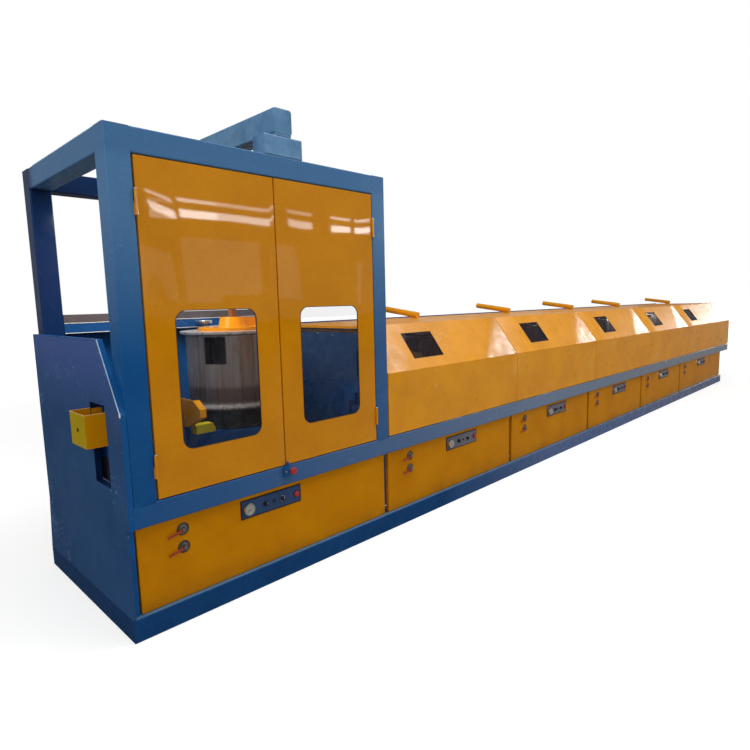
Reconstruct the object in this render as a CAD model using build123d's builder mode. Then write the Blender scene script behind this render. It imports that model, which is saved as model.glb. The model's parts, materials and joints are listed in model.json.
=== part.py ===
from build123d import *
import os
from math import atan2, cos, radians, sin, tan

# Wire drawing machine: a tall door-fronted bay at the left end of a long line of hooded bays.
# Millimetres. X runs along the machine from the left face of the tall frame, Y into the machine
# from its middle plane (the front is at -Y), Z up from the floor.

# Overall sizes
depth = 1200.0
tall_length = 1680.0
tall_height = 2300.0
tube = 110.0
tube_edge = 7.0
hood_pitch = 1635.0
short_hoods = 4
last_hood = 2430.0
end_overhang = 385.0

# Levels
base_height = 114.0
rail_bottom = 534.0
deck_thick = 12.0
hood_fold = 1066.0
hood_top = 1372.0
hood_slope_run = 233.0

# Sheet metal
sheet = 4.0
end_fold = 28.0
end_rise = 22.0
end_ridge_ahead = 30.0
base_reach = 40.0
partition_fold = 40.0
part_gap = 6.0
seat_gap = 0.3

# Lower panels and the posts between them
panel_recess = 25.0
panel_fold = 25.0
panel_gap = 42.0
panel_first = 10.0
panel_pitch = 1580.0
panel_joint_inset = 7.0
panel_edge_gap = 3.0
post_width = 84.0
valve_offset = 245.0
valve_hole_r = 30.0
valve_low = 373.0
valve_rise = 90.0
valve_body_r = 17.0
valve_bonnet_r = 11.0
lever_length = 82.0
lever_width = 13.0
lever_thick = 4.0
lever_drop_deg = 13.0
lever_stand_off = 14.0
pipe_height = 40.0

# Control plates
plate_offset = 668.0
plate_offset_first = 563.0
plate_offset_last = 905.0
plate_length = 382.0
plate_height = 90.0
plate_bottom = 412.0
plate_thick = 4.0
gauge_r = 21.0
gauge_proud = 16.0
gauge_edge = 3.0
knob_r = 10.0
knob_proud = 14.0
button_r = 12.0
button_proud = 9.0
gauge_at = 50.0
knob_at = 146.0
selector_at = 258.0
button_at = 355.0

# Tall frame
back_rail_bottom = 1390.0
gantry_width = 112.0
gantry_height = 124.0
gantry_wall = 8.0
gantry_cap_edge = 14.0
gantry_block_length = 238.0
gantry_block_height = 104.0
gantry_pad = 13.0

# Doors
door_fold = 28.0
door_window_width = 442.0
door_window_height = 664.0
door_window_bottom = 853.0
door_window_corner = 55.0
door_hinge_above_bottom = 100.0
door_hinge_below_top = 254.0
door_hinge_height = 110.0
door_hinge_r = 7.0
door_pin_r = 4.0
door_leaf = 10.0
door_leaf_thick = 3.0
pane_thick = 5.0
pane_lap = 22.0
pin_clearance = 0.3
door_edge_gap = 8.0

# Hoods
hood_window_offset = 328.0
hood_window_width = 335.0
hood_window_low = 85.0
hood_window_high = 302.0
hood_flange = 40.0
hood_hinge_inset = 260.0
hood_pin_r = 8.0
hood_knuckle_r = 14.0
hood_pin_back = 16.0
hood_knuckle = 55.0
hood_bracket = 70.0
hood_bracket_height = 60.0
arm_r = 28.0
arm_wall = 4.0
arm_inset = 200.0
arm_foot_back = 940.0
arm_length = 440.0
arm_rise_deg = 8.0
arm_saddle = 70.0
rear_rail_depth = 60.0
rear_rail_height = 100.0
rear_post_width = 60.0
rear_panel_fold = 20.0
top_bar_gap = 6.0
top_bar_thick = 20.0
top_bar_height = 92.0
top_bar_rise = 26.0

# Left end slot and bracket
slot_front = 172.0
slot_width = 186.0
slot_bottom = 700.0
slot_top = 1092.0
slot_lip = 6.0
bracket_reach = 90.0
bracket_bottom = 906.0
bracket_height = 155.0
bracket_sheet = 5.0
bracket_hole_r = 6.0

# Partition between the tall bay and the first hood
partition_slot_front = 150.0
partition_slot_width = 100.0
partition_slot_bottom = 1030.0
partition_slot_top = 1210.0
step_reach = 35.0
step_top = 955.0
step_peak = 980.0
step_peak_back = 480.0
step_front = 240.0
step_front_top = 926.0
notch_top = 872.0
notch_back = 300.0

# Drawing blocks
drum_from_joint = 760.0
drum_r = 284.0
drum_wall = 14.0
drum_top = 1383.0
drum_flange_r = 315.0
drum_flange_thick = 12.0
drum_foot = 932.0
drum_foot_r = 322.0
drum_foot_thick = 26.0
drum_groove_r = 256.0
drum_groove_height = 32.0
drum_skirt_r = 272.0
drum_skirt_drop = 107.0
drum_ring_r = 318.0
drum_ring_thick = 12.0
drum_slot_width = 132.0
drum_slot_height = 159.0
drum_slot_below_top = 17.0
drum_slots = 2
drum_slot_turn = -144.0
shaft_r = 60.0
sleeve_r = 95.0
housing_r = 330.0
covered_drum_top = 1252.0
covered_cap_height = 52.0
cap_r = 210.0
cap_plate = 20.0
cap_hub_r = 74.0
cap_hub_height = 60.0
cap_nut_r = 27.0
cap_nut_height = 46.0
cap_arm_width = 74.0
cap_arm_reach = 285.0
cap_arm_height = 54.0

# Die box ahead of each block: holder, tray and post; the covered ones stand higher and further out
holder_length = 110.0
holder_depth = 60.0
holder_height = 48.0
holder_nose = 26.0
holder_ahead = 470.0
holder_front = 240.0
holder_top = 905.0
covered_holder_ahead = 410.0
covered_holder_front = 180.0
covered_holder_top = 1155.0
die_r = 11.0
post_length = 40.0
post_depth = 50.0
post_rise = 20.0
tray_length = 35.0
tray_depth = 290.0
tray_height = 149.0
tray_chamfer = 65.0
tray_chamfer_drop = 40.0
tray_front_height = 42.0
tray_toe = 145.0
tray_sheet = 5.0
tray_hole_r = 9.0
tray_front_of_holder = 133.0
tray_above_holder = 148.0
covered_tray_front = 60.0
covered_tray_above = 20.0

# Small pieces on the front rail and inside the tall bay
latch_offset = 22.0
latch_width = 34.0
latch_bottom = 584.0
latch_top = 666.0
latch_tab = 8.0
latch_thick = 14.0
stop_offset = 38.0
stop_z = 608.0
stop_r = 20.0
stop_proud = 26.0
roller_offset = 40.0
roller_r = 55.0
roller_thick = 25.0
roller_above_rail = 22.0
roller_arm_thick = 10.0

# Places worked out from the sizes above
front = -depth / 2
back = depth / 2
rail_top = rail_bottom + tube
deck_top = rail_top + deck_thick
hoods_end = tall_length + short_hoods * hood_pitch + last_hood
base_end = hoods_end - end_overhang
panel_face = front + panel_recess
panel_joints = [tall_length - panel_joint_inset + i * panel_pitch for i in range(short_hoods + 1)]
panel_lefts = [panel_first] + [joint + panel_gap / 2 for joint in panel_joints]
panel_rights = [joint - panel_gap / 2 for joint in panel_joints] + [base_end - panel_first]
hood_joints = [tall_length + i * hood_pitch for i in range(short_hoods + 1)] + [hoods_end]
slope = atan2(hood_top - hood_fold, hood_slope_run)
hood_axis_y = back + hood_pin_back
hood_axis_z = hood_top - sheet - hood_knuckle_r
rear_rail_top = hood_top - hood_flange - part_gap
base_left = -base_reach
door_middle = tall_length / 2
drum_x = tall_length - drum_from_joint

os.makedirs("parts", exist_ok=True)


def bar(x0, x1, y0, y1, z0, z1, mode=Mode.ADD):
    """Add a straight bar that fills the space between two corners."""
    with Locations(((x0 + x1) / 2, (y0 + y1) / 2, (z0 + z1) / 2)):
        Box(x1 - x0, y1 - y0, z1 - z0, mode=mode)


def save(piece, name):
    """Label a finished piece and write it to its own file."""
    piece.part.label = name
    export_step(piece.part, "parts/" + name + ".step")


def end_outline(inset, bottom, rear):
    """Outline of the machine across its length, as (y, z) points: front, slope and flat top."""
    low = hood_fold - inset * (1 - sin(slope)) / cos(slope)
    top = hood_top - inset
    ridge = front + (top - hood_fold + inset / cos(slope)) / tan(slope)
    return [(front + inset, bottom), (front + inset, low), (ridge, top), (rear, top), (rear, bottom)]


# Base: long channels on the floor, tied by cross channels

with BuildPart() as base_long_channels:
    bar(base_left, base_end, front, front + tube, 0, base_height)
    bar(base_left, base_end, back - tube, back, 0, base_height)
    fillet(base_long_channels.edges().filter_by(Axis.X), radius=tube_edge)
save(base_long_channels, "base_long_channels")

inner_lefts = [joint - post_width / 2 for joint in panel_joints]
cross_lefts = [base_left] + inner_lefts + [base_end - post_width]

with BuildPart() as base_cross_channels:
    for left in cross_lefts:
        bar(left, left + post_width, front + tube, back - tube, 0, base_height)
save(base_cross_channels, "base_cross_channels")

# Posts between base and rails, set back behind the lower panels

with BuildPart() as lower_posts:
    for left in [0] + inner_lefts + [base_end - sheet - post_width]:
        bar(left, left + post_width, panel_face + panel_fold, front + tube, base_height, rail_bottom)
        bar(left, left + post_width, back - tube, -panel_face - panel_fold, base_height, rail_bottom)
save(lower_posts, "lower_posts")

# Rails at mid height, their cross members and the deck

with BuildPart() as front_rail:
    bar(0, hoods_end, front, front + tube, rail_bottom, rail_top)
    fillet(front_rail.edges().filter_by(Axis.X), radius=tube_edge)
save(front_rail, "front_rail")

with BuildPart() as back_rail:
    bar(0, hoods_end, back - tube, back, rail_bottom, rail_top)
    fillet(back_rail.edges().filter_by(Axis.X), radius=tube_edge)
save(back_rail, "back_rail")

with BuildPart() as rail_cross_members:
    for left in [0] + inner_lefts + [hoods_end - post_width]:
        bar(left, left + post_width, front + tube, back - tube, rail_bottom, rail_top)
save(rail_cross_members, "rail_cross_members")

with BuildPart() as deck_plate:
    bar(0, hoods_end, front + tube, back - tube, rail_top, deck_top)
save(deck_plate, "deck_plate")

# Lower panels: folded sheet boxes, open at the back, six along each side

panel_bottom = base_height + panel_edge_gap
panel_top = rail_bottom - panel_edge_gap

with BuildPart() as lower_front_panels:
    for left, right in zip(panel_lefts, panel_rights):
        bar(left, right, panel_face, panel_face + panel_fold, panel_bottom, panel_top)
        bar(left + sheet, right - sheet, panel_face + sheet, panel_face + panel_fold,
            panel_bottom + sheet, panel_top - sheet, mode=Mode.SUBTRACT)
    valve_lefts = [left + valve_offset - panel_gap / 2 for left in panel_lefts]
    with BuildSketch(Plane.XZ.offset(-panel_face)):
        for x in valve_lefts:
            with Locations((x, valve_low), (x, valve_low + valve_rise)):
                Circle(valve_hole_r)
    extrude(amount=-sheet, mode=Mode.SUBTRACT)
save(lower_front_panels, "lower_front_panels")

with BuildPart() as lower_back_panels:
    for left, right in zip(panel_lefts, panel_rights):
        bar(left, right, -panel_face - panel_fold, -panel_face, panel_bottom, panel_top)
        bar(left + sheet, right - sheet, -panel_face - panel_fold, -panel_face - sheet,
            panel_bottom + sheet, panel_top - sheet, mode=Mode.SUBTRACT)
save(lower_back_panels, "lower_back_panels")

# Control plates with a gauge, two knobs and a push button each

plate_lefts = ([plate_offset_first] + [joint + plate_offset for joint in panel_joints[:-1]]
               + [panel_joints[-1] + plate_offset_last])
plate_face = panel_face - plate_thick
plate_middle = plate_bottom + plate_height / 2

with BuildPart() as control_plates:
    for left in plate_lefts:
        bar(left, left + plate_length, plate_face, panel_face, plate_bottom, plate_bottom + plate_height)
save(control_plates, "control_plates")

with BuildPart() as pressure_gauges:
    for left in plate_lefts:
        with Locations(Plane((left + gauge_at, plate_face, plate_middle), x_dir=(1, 0, 0), z_dir=(0, -1, 0))):
            Cylinder(gauge_r, gauge_proud, align=(Align.CENTER, Align.CENTER, Align.MIN))
    fillet(pressure_gauges.faces().sort_by(Axis.Y).group_by(Axis.Y)[0].edges(), radius=gauge_edge)
save(pressure_gauges, "pressure_gauges")

with BuildPart() as control_knobs:
    for left in plate_lefts:
        for at, radius, proud in ((knob_at, knob_r, knob_proud), (selector_at, knob_r, knob_proud),
                                  (button_at, button_r, button_proud)):
            with Locations(Plane((left + at, plate_face, plate_middle), x_dir=(1, 0, 0), z_dir=(0, -1, 0))):
                Cylinder(radius, proud, align=(Align.CENTER, Align.CENTER, Align.MIN))
save(control_knobs, "control_knobs")

# Ball valves behind the round holes: body, bonnet and stem, then the lever outside the panel

valve_back = panel_face + panel_fold
lever_face = panel_face - lever_stand_off

with BuildPart() as ball_valves:
    for x in valve_lefts:
        for z in (valve_low, valve_low + valve_rise):
            with Locations(Plane((x, valve_back, z), x_dir=(1, 0, 0), z_dir=(0, -1, 0))):
                Cylinder(valve_body_r, panel_fold, align=(Align.CENTER, Align.CENTER, Align.MIN))
            with Locations(Plane((x, panel_face, z), x_dir=(1, 0, 0), z_dir=(0, -1, 0))):
                Cylinder(valve_bonnet_r, lever_stand_off, align=(Align.CENTER, Align.CENTER, Align.MIN))
        bar(x - valve_body_r, x + valve_body_r, valve_back, valve_back + valve_body_r,
            valve_low - valve_body_r, valve_low + valve_rise + valve_body_r)
        bar(x - valve_body_r, x + valve_body_r, valve_back + valve_body_r, front + tube,
            rail_bottom - pipe_height, rail_bottom)
        bar(x - valve_body_r, x + valve_body_r, valve_back, valve_back + valve_body_r,
            valve_low + valve_rise, rail_bottom)
save(ball_valves, "ball_valves")

with BuildPart() as valve_levers:
    for x in valve_lefts:
        for z in (valve_low, valve_low + valve_rise):
            with BuildSketch(Plane((x, lever_face, z), x_dir=(-1, 0, 0), z_dir=(0, -1, 0))):
                with Locations(Rotation(0, 0, lever_drop_deg)):
                    with Locations((lever_length / 2, 0)):
                        SlotOverall(lever_length + lever_width, lever_width)
            extrude(amount=lever_thick)
save(valve_levers, "valve_levers")

# Tall frame: four posts, top beams, and the lifting beam on its two blocks

with BuildPart() as tall_posts:
    for left in (0, tall_length - tube):
        bar(left, left + tube, front, front + tube, rail_top, tall_height)
        bar(left, left + tube, back - tube, back, rail_top, tall_height)
    fillet(tall_posts.edges().filter_by(Axis.Z), radius=tube_edge)
save(tall_posts, "tall_posts")

with BuildPart() as top_long_beams:
    bar(tube, tall_length - tube, front, front + tube, tall_height - tube, tall_height)
    bar(tube, tall_length - tube, back - tube, back, tall_height - tube, tall_height)
    fillet(top_long_beams.edges().filter_by(Axis.X), radius=tube_edge)
save(top_long_beams, "top_long_beams")

with BuildPart() as top_end_beams:
    for left in (0, tall_length - tube):
        bar(left, left + tube, front + tube, back - tube, tall_height - tube, tall_height)
    fillet(top_end_beams.edges().filter_by(Axis.Y), radius=tube_edge)
save(top_end_beams, "top_end_beams")

gantry_middle = drum_x
block_top = tall_height + gantry_block_height
gantry_bottom = block_top + gantry_pad

with BuildPart() as gantry_blocks:
    for y0 in (front, back - tube):
        bar(gantry_middle - gantry_block_length / 2, gantry_middle + gantry_block_length / 2,
            y0, y0 + tube, tall_height, block_top)
    fillet(gantry_blocks.edges().filter_by(Axis.X), radius=tube_edge)
    for y0 in (front, back - tube):
        bar(gantry_middle - gantry_width * 0.4, gantry_middle + gantry_width * 0.4,
            y0 + tube * 0.2, y0 + tube * 0.8, block_top, gantry_bottom)
save(gantry_blocks, "gantry_blocks")

with BuildPart() as gantry_tube:
    with BuildSketch(Plane.XZ.offset(-front - gantry_wall)):
        with Locations((gantry_middle, gantry_bottom + gantry_height / 2)):
            RectangleRounded(gantry_width, gantry_height, tube_edge)
    extrude(amount=-(depth - 2 * gantry_wall))
    for y0 in (-front, -back + gantry_wall):
        with BuildSketch(Plane.XZ.offset(y0)):
            with Locations((gantry_middle, gantry_bottom + gantry_height / 2)):
                RectangleRounded(gantry_width, gantry_height, gantry_cap_edge)
        extrude(amount=-gantry_wall)
save(gantry_tube, "gantry_tube")

# Rear rails: one across the tall bay, one behind the hoods with its posts, and the bar behind the hinges

top_bar_front = hood_axis_y + hood_knuckle_r + top_bar_gap
top_bar_top = hood_axis_z + top_bar_rise

with BuildPart() as rear_rails:
    bar(tube, tall_length - tube, back - tube, back, back_rail_bottom, back_rail_bottom + tube)
    bar(tall_length, hoods_end, back - rear_rail_depth, back,
        rear_rail_top - rear_rail_height, rear_rail_top)
    bar(hood_joints[0] + part_gap, hoods_end, top_bar_front, top_bar_front + top_bar_thick,
        top_bar_top - top_bar_height, top_bar_top)
save(rear_rails, "rear_rails")

rear_post_lefts = ([joint - rear_post_width / 2 for joint in hood_joints[1:-1]]
                   + [hoods_end - rear_post_width - sheet])

with BuildPart() as rear_posts:
    for left in rear_post_lefts:
        bar(left, left + rear_post_width, back - rear_rail_depth, back,
            rail_top, rear_rail_top - rear_rail_height)
save(rear_posts, "rear_posts")

# Sheet closing the back between the rails, one for each bay

rear_bays = [(tube, tall_length - tube, back_rail_bottom)]
rear_bay_lefts = [tall_length] + [left + rear_post_width for left in rear_post_lefts[:-1]]
rear_bays += [(left, right, rear_rail_top - rear_rail_height)
              for left, right in zip(rear_bay_lefts, rear_post_lefts)]

with BuildPart() as rear_panels:
    for left, right, top in rear_bays:
        bar(left + seat_gap, right - seat_gap, back - rear_panel_fold - sheet, back - sheet,
            rail_top, top)
        bar(left + seat_gap + sheet, right - seat_gap - sheet, back - rear_panel_fold - sheet,
            back - 2 * sheet, rail_top + sheet, top - sheet, mode=Mode.SUBTRACT)
save(rear_panels, "rear_panels")

# Left end panel: a folded sheet box with the machine's outline, recessed at the lower panels


def end_panel_points(inset):
    """Outline of the left end panel, with the step back behind the lower panels."""
    _, low, ridge, rear_top, _ = end_outline(inset, 0, back - inset)
    foot = [(back - inset, base_height + inset), (panel_face + inset, base_height + inset)]
    notch = [(panel_face + inset, rail_bottom + inset), (front + inset, rail_bottom + inset)]
    raised_ridge = (ridge[0] - end_ridge_ahead, ridge[1] + end_rise)
    raised_rear = (rear_top[0], rear_top[1] + end_rise)
    return foot + notch + [low, raised_ridge, raised_rear]


with BuildPart() as left_end_panel:
    with BuildSketch(Plane.YZ.offset(-end_fold)):
        with BuildLine():
            Polyline(*end_panel_points(0), close=True)
        make_face()
    extrude(amount=end_fold)
    with BuildSketch(Plane.YZ.offset(-end_fold + sheet)):
        with BuildLine():
            Polyline(*end_panel_points(sheet), close=True)
        make_face()
    extrude(amount=end_fold - sheet, mode=Mode.SUBTRACT)
    slot_box = (front + slot_front, front + slot_front + slot_width, slot_bottom, slot_top)
    bar(-end_fold, 0, slot_box[0] - slot_lip, slot_box[1] + slot_lip,
        slot_box[2] - slot_lip, slot_box[3] + slot_lip)
    bar(-end_fold, 0, *slot_box, mode=Mode.SUBTRACT)
save(left_end_panel, "left_end_panel")

# Open-topped bracket round the slot on the left end

bracket_left = -end_fold - bracket_reach
bracket_front = front + slot_front - bracket_sheet
bracket_back = front + slot_front + slot_width + bracket_sheet

with BuildPart() as wire_entry_bracket:
    bar(bracket_left, -end_fold, bracket_front, bracket_back, bracket_bottom, bracket_bottom + bracket_height)
    bar(bracket_left + bracket_sheet, -end_fold, bracket_front + bracket_sheet, bracket_back - bracket_sheet,
        bracket_bottom, bracket_bottom + bracket_height, mode=Mode.SUBTRACT)
    with BuildSketch(Plane.YZ.offset(bracket_left)):
        with Locations(((bracket_front + bracket_back) / 2, bracket_bottom + bracket_height / 2)):
            Circle(bracket_hole_r)
    extrude(amount=bracket_sheet, mode=Mode.SUBTRACT)
save(wire_entry_bracket, "wire_entry_bracket")

# Right end: a sheet under the last hood, and a sheet closing the end below the rails

with BuildPart() as right_end_panels:
    with BuildSketch(Plane.YZ.offset(hoods_end - hood_flange)):
        with BuildLine():
            Polyline(*end_outline(sheet + part_gap, deck_top, back - rear_rail_depth), close=True)
        make_face()
        with Locations((front + (tube + sheet + part_gap) / 2, (rail_top + deck_top) / 2)):
            Rectangle(tube - sheet - part_gap, deck_thick)
    extrude(amount=sheet)
    bar(base_end - sheet, base_end, panel_face + panel_fold, -panel_face - panel_fold,
        base_height, rail_bottom)
save(right_end_panels, "right_end_panels")

# Partition between the tall bay and the first hood: folded sheet with a step low down and a wire slot

partition_top = hood_top - hood_flange - sheet
partition_left = tall_length - partition_fold

with BuildPart() as partition_wall:
    bar(partition_left, tall_length, front + tube, back - tube, deck_top, partition_top)
    bar(partition_left + sheet, tall_length, front + tube, back - tube,
        deck_top, partition_top - sheet, mode=Mode.SUBTRACT)
    with BuildSketch(Plane.YZ.offset(partition_left - step_reach)):
        with BuildLine():
            Polyline((back - tube, deck_top), (back - tube, step_top), (front + step_peak_back, step_peak),
                     (front + step_front, step_front_top), (front + step_front, notch_top),
                     (front + notch_back, notch_top), (front + notch_back, deck_top), close=True)
        make_face()
    extrude(amount=step_reach)
    bar(partition_left, tall_length, front + partition_slot_front,
        front + partition_slot_front + partition_slot_width,
        partition_slot_bottom, partition_slot_top, mode=Mode.SUBTRACT)
save(partition_wall, "partition_wall")

# Drawing blocks: housings with their shafts on the deck

drum_xs = [drum_x + i * hood_pitch for i in range(short_hoods + 2)]
skirt_bottom = drum_foot - drum_skirt_drop

with BuildPart() as block_housings:
    for i, x in enumerate(drum_xs):
        top = drum_top if i == 0 else covered_drum_top
        lower = drum_top - top
        housing_top = skirt_bottom - lower - part_gap
        with Locations((x, 0, deck_top)):
            Cylinder(housing_r, housing_top - deck_top, align=(Align.CENTER, Align.CENTER, Align.MIN))
            Cylinder(shaft_r, top - drum_flange_thick - seat_gap - deck_top,
                     align=(Align.CENTER, Align.CENTER, Align.MIN))
save(block_housings, "block_housings")


def drum_points(x, lower):
    """Half section of a hollow drum about its own axis, as points in the XZ plane."""
    top = drum_top - lower
    foot = drum_foot - lower
    skirt = skirt_bottom - lower
    bore = shaft_r + pin_clearance
    groove = foot - drum_groove_height
    outside = [(0, top), (drum_flange_r, top), (drum_flange_r, top - drum_flange_thick),
               (drum_r, top - 2 * drum_flange_thick), (drum_r, foot + drum_foot_thick),
               (drum_foot_r, foot + drum_foot_thick / 2), (drum_foot_r, foot),
               (drum_groove_r, foot), (drum_groove_r, groove), (drum_skirt_r, groove),
               (drum_skirt_r, skirt + drum_ring_thick), (drum_ring_r, skirt + drum_ring_thick),
               (drum_ring_r, skirt)]
    inside = [(drum_groove_r - drum_wall, skirt), (drum_groove_r - drum_wall, foot),
              (drum_r - drum_wall, foot + drum_foot_thick),
              (drum_r - drum_wall, top - 2 * drum_flange_thick),
              (sleeve_r, top - 2 * drum_flange_thick), (sleeve_r, foot),
              (bore, foot), (bore, top - drum_flange_thick), (0, top - drum_flange_thick)]
    return [(x + r, z) for r, z in outside + inside]


with BuildPart() as drawing_drum:
    with BuildSketch(Plane.XZ):
        with BuildLine():
            Polyline(*drum_points(drum_x, 0), close=True)
        make_face()
    revolve(axis=Axis((drum_x, 0, 0), (0, 0, 1)))
    slot_middle = drum_top - drum_flange_thick - drum_slot_below_top - drum_slot_height / 2
    with Locations(Location((drum_x, 0, slot_middle))):
        with PolarLocations(drum_r - drum_wall / 2, drum_slots, start_angle=drum_slot_turn):
            Box(drum_wall * 4, drum_slot_width, drum_slot_height, mode=Mode.SUBTRACT)
save(drawing_drum, "drawing_drum")

with BuildPart() as covered_drums:
    lower = drum_top - covered_drum_top
    for x in drum_xs[1:]:
        with BuildSketch(Plane.XZ):
            with BuildLine():
                Polyline(*drum_points(x, lower), close=True)
            make_face()
        revolve(axis=Axis((x, 0, 0), (0, 0, 1)))
        with Locations((x, 0, covered_drum_top)):
            Cylinder(cap_r, cap_plate, align=(Align.CENTER, Align.CENTER, Align.MIN))
            Cylinder(cap_hub_r, covered_cap_height, align=(Align.CENTER, Align.CENTER, Align.MIN))
save(covered_drums, "covered_drums")

# Cap on the visible drum: plate, hub, nut and one clamp arm

with BuildPart() as drum_cap:
    with Locations((drum_x, 0, drum_top)):
        Cylinder(cap_r, cap_plate, align=(Align.CENTER, Align.CENTER, Align.MIN))
        Cone(cap_hub_r * 1.25, cap_hub_r, cap_plate + cap_hub_height,
             align=(Align.CENTER, Align.CENTER, Align.MIN))
    bar(drum_x, drum_x + cap_arm_reach, -cap_arm_width / 2, cap_arm_width / 2,
        drum_top + cap_plate, drum_top + cap_plate + cap_arm_height)
    with BuildSketch(Plane.XY.offset(drum_top + cap_plate + cap_hub_height)):
        with Locations((drum_x, 0)):
            RegularPolygon(cap_nut_r, 6)
    extrude(amount=cap_nut_height)
save(drum_cap, "drum_cap")

# Die boxes: a holder with the die in its nose, and a folded tray, both on a post from the deck

die_places = [(x - holder_ahead, front + holder_front, holder_top,
               front + holder_front - tray_front_of_holder, holder_top + tray_above_holder)
              if i == 0 else
              (x - covered_holder_ahead, front + covered_holder_front, covered_holder_top,
               front + covered_holder_front - covered_tray_front, covered_holder_top + covered_tray_above)
              for i, x in enumerate(drum_xs)]

with BuildPart() as die_boxes:
    for left, y0, top, _, _ in die_places:
        nose = left + holder_length
        bar(left, nose, y0, y0 + holder_depth, top - holder_height, top)
        chamfer(die_boxes.edges().filter_by(Axis.Y).group_by(Axis.X)[-1].sort_by(Axis.Z)[-1],
                length=holder_nose, length2=holder_nose / 2)
        with BuildSketch(Plane.YZ.offset(left)):
            with Locations((y0 + holder_depth / 2, top - holder_height / 2)):
                Circle(die_r)
        extrude(amount=holder_length, mode=Mode.SUBTRACT)
save(die_boxes, "die_boxes")

with BuildPart() as die_posts:
    for left, y0, top, _, _ in die_places:
        bar(left - post_length / 4, left + post_length * 3 / 4, y0 + holder_depth,
            y0 + holder_depth + post_depth, deck_top, top + post_rise)
save(die_posts, "die_posts")

with BuildPart() as die_trays:
    for left, y0, _, tray_front, tray_top in die_places:
        tray_left = left - post_length / 4 - tray_length
        low = tray_top - tray_height
        front_top = tray_top - tray_chamfer_drop
        for inset, mode in ((0, Mode.ADD), (tray_sheet, Mode.SUBTRACT)):
            with BuildSketch(Plane.YZ.offset(tray_left + inset)):
                with BuildLine():
                    Polyline((tray_front + tray_depth - inset, low + inset),
                             (tray_front + tray_depth - inset, tray_top),
                             (tray_front + tray_chamfer, tray_top),
                             (tray_front + inset, front_top),
                             (tray_front + inset, front_top - tray_front_height),
                             (tray_front + tray_toe, low + inset), close=True)
                make_face()
            extrude(amount=tray_length, mode=mode)
        with BuildSketch(Plane.YZ.offset(tray_left)):
            with Locations((y0 + holder_depth / 2, (front_top + low) / 2)):
                Circle(tray_hole_r)
        extrude(amount=tray_sheet, mode=Mode.SUBTRACT)
save(die_trays, "die_trays")

# Small steel guide roller above the drum, on an arm from the rear rail of the tall bay

roller_x = drum_x + roller_offset
roller_y = back - tube - roller_r - part_gap
roller_bottom = back_rail_bottom + roller_above_rail

with BuildPart() as guide_roller:
    with Locations((roller_x, roller_y, roller_bottom)):
        Cylinder(roller_r, roller_thick, align=(Align.CENTER, Align.CENTER, Align.MIN))
    fillet(guide_roller.edges().filter_by(GeomType.CIRCLE), radius=roller_thick / 5)
    bar(roller_x - roller_r / 4, roller_x + roller_r / 4, roller_y - roller_r / 3, back - tube,
        roller_bottom - roller_arm_thick, roller_bottom)
save(guide_roller, "guide_roller")

# Latch on the right door that hangs over the rail, and the stop button on the rail

latch_left = door_middle - latch_offset
stop_x = door_middle + stop_offset

with BuildPart() as door_latch:
    bar(latch_left, latch_left + latch_width, front - latch_thick, front - part_gap, latch_bottom, rail_top)
    bar(latch_left + latch_width - latch_tab, latch_left + latch_width, front - latch_thick, front - part_gap,
        rail_top, latch_top)
    bar(latch_left + latch_width - latch_tab, latch_left + latch_width, front - part_gap, front,
        rail_top + part_gap, latch_top)
save(door_latch, "door_latch")

with BuildPart() as stop_button:
    with Locations(Plane((stop_x, front, stop_z), x_dir=(1, 0, 0), z_dir=(0, -1, 0))):
        Cylinder(stop_r * 0.6, stop_proud, align=(Align.CENTER, Align.CENTER, Align.MIN))
    with Locations(Plane((stop_x, front - stop_proud / 2, stop_z), x_dir=(1, 0, 0), z_dir=(0, -1, 0))):
        Cylinder(stop_r, stop_proud / 2, align=(Align.CENTER, Align.CENTER, Align.MIN))
    fillet(stop_button.faces().sort_by(Axis.Y)[0].edges(), radius=stop_proud / 5)
save(stop_button, "stop_button")

# Doors: folded sheet boxes with a round-cornered window each, and their hinges

door_bottom = rail_top + part_gap
door_top = tall_height - tube - part_gap
door_hinge_bottoms = (door_bottom + door_hinge_above_bottom, door_top - door_hinge_below_top)
door_axis_inset = tube + part_gap * 0.75
door_axis_y = front - door_hinge_r
hinge_half = door_hinge_height / 2


def door(left, right, name, hinge_x, side):
    """One door with its pane's opening and its hinge halves; side is +1 where the hinge is at the left."""
    middle = (left + right) / 2
    window_middle = door_window_bottom + door_window_height / 2
    with BuildPart() as leaf:
        bar(left, right, front, front + door_fold, door_bottom, door_top)
        bar(left + sheet, right - sheet, front + sheet, front + door_fold, door_bottom + sheet,
            door_top - sheet, mode=Mode.SUBTRACT)
        with BuildSketch(Plane.XZ.offset(-front)):
            with Locations((middle, window_middle)):
                RectangleRounded(door_window_width, door_window_height, door_window_corner)
        extrude(amount=-sheet, mode=Mode.SUBTRACT)
        for z in door_hinge_bottoms:
            with BuildSketch(Plane.XY.offset(z + hinge_half + part_gap / 6)):
                with Locations((hinge_x, door_axis_y)):
                    Circle(door_hinge_r)
                with Locations((hinge_x + side * door_leaf / 2, front - door_leaf_thick / 2)):
                    Rectangle(door_leaf, door_leaf_thick)
                with Locations((hinge_x, door_axis_y)):
                    Circle(door_pin_r + pin_clearance, mode=Mode.SUBTRACT)
            extrude(amount=hinge_half - part_gap / 6)
    save(leaf, name)
    with BuildPart() as pane:
        with BuildSketch(Plane.XZ.offset(-front - sheet)):
            with Locations((middle, window_middle)):
                RectangleRounded(door_window_width + 2 * pane_lap, door_window_height + 2 * pane_lap,
                                 door_window_corner)
        extrude(amount=-pane_thick)
    save(pane, name + "_window")


door(tube + door_edge_gap, door_middle - door_edge_gap / 2, "left_door", door_axis_inset, 1)
door(door_middle + door_edge_gap / 2, tall_length - tube - door_edge_gap, "right_door",
     tall_length - door_axis_inset, -1)

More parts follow.
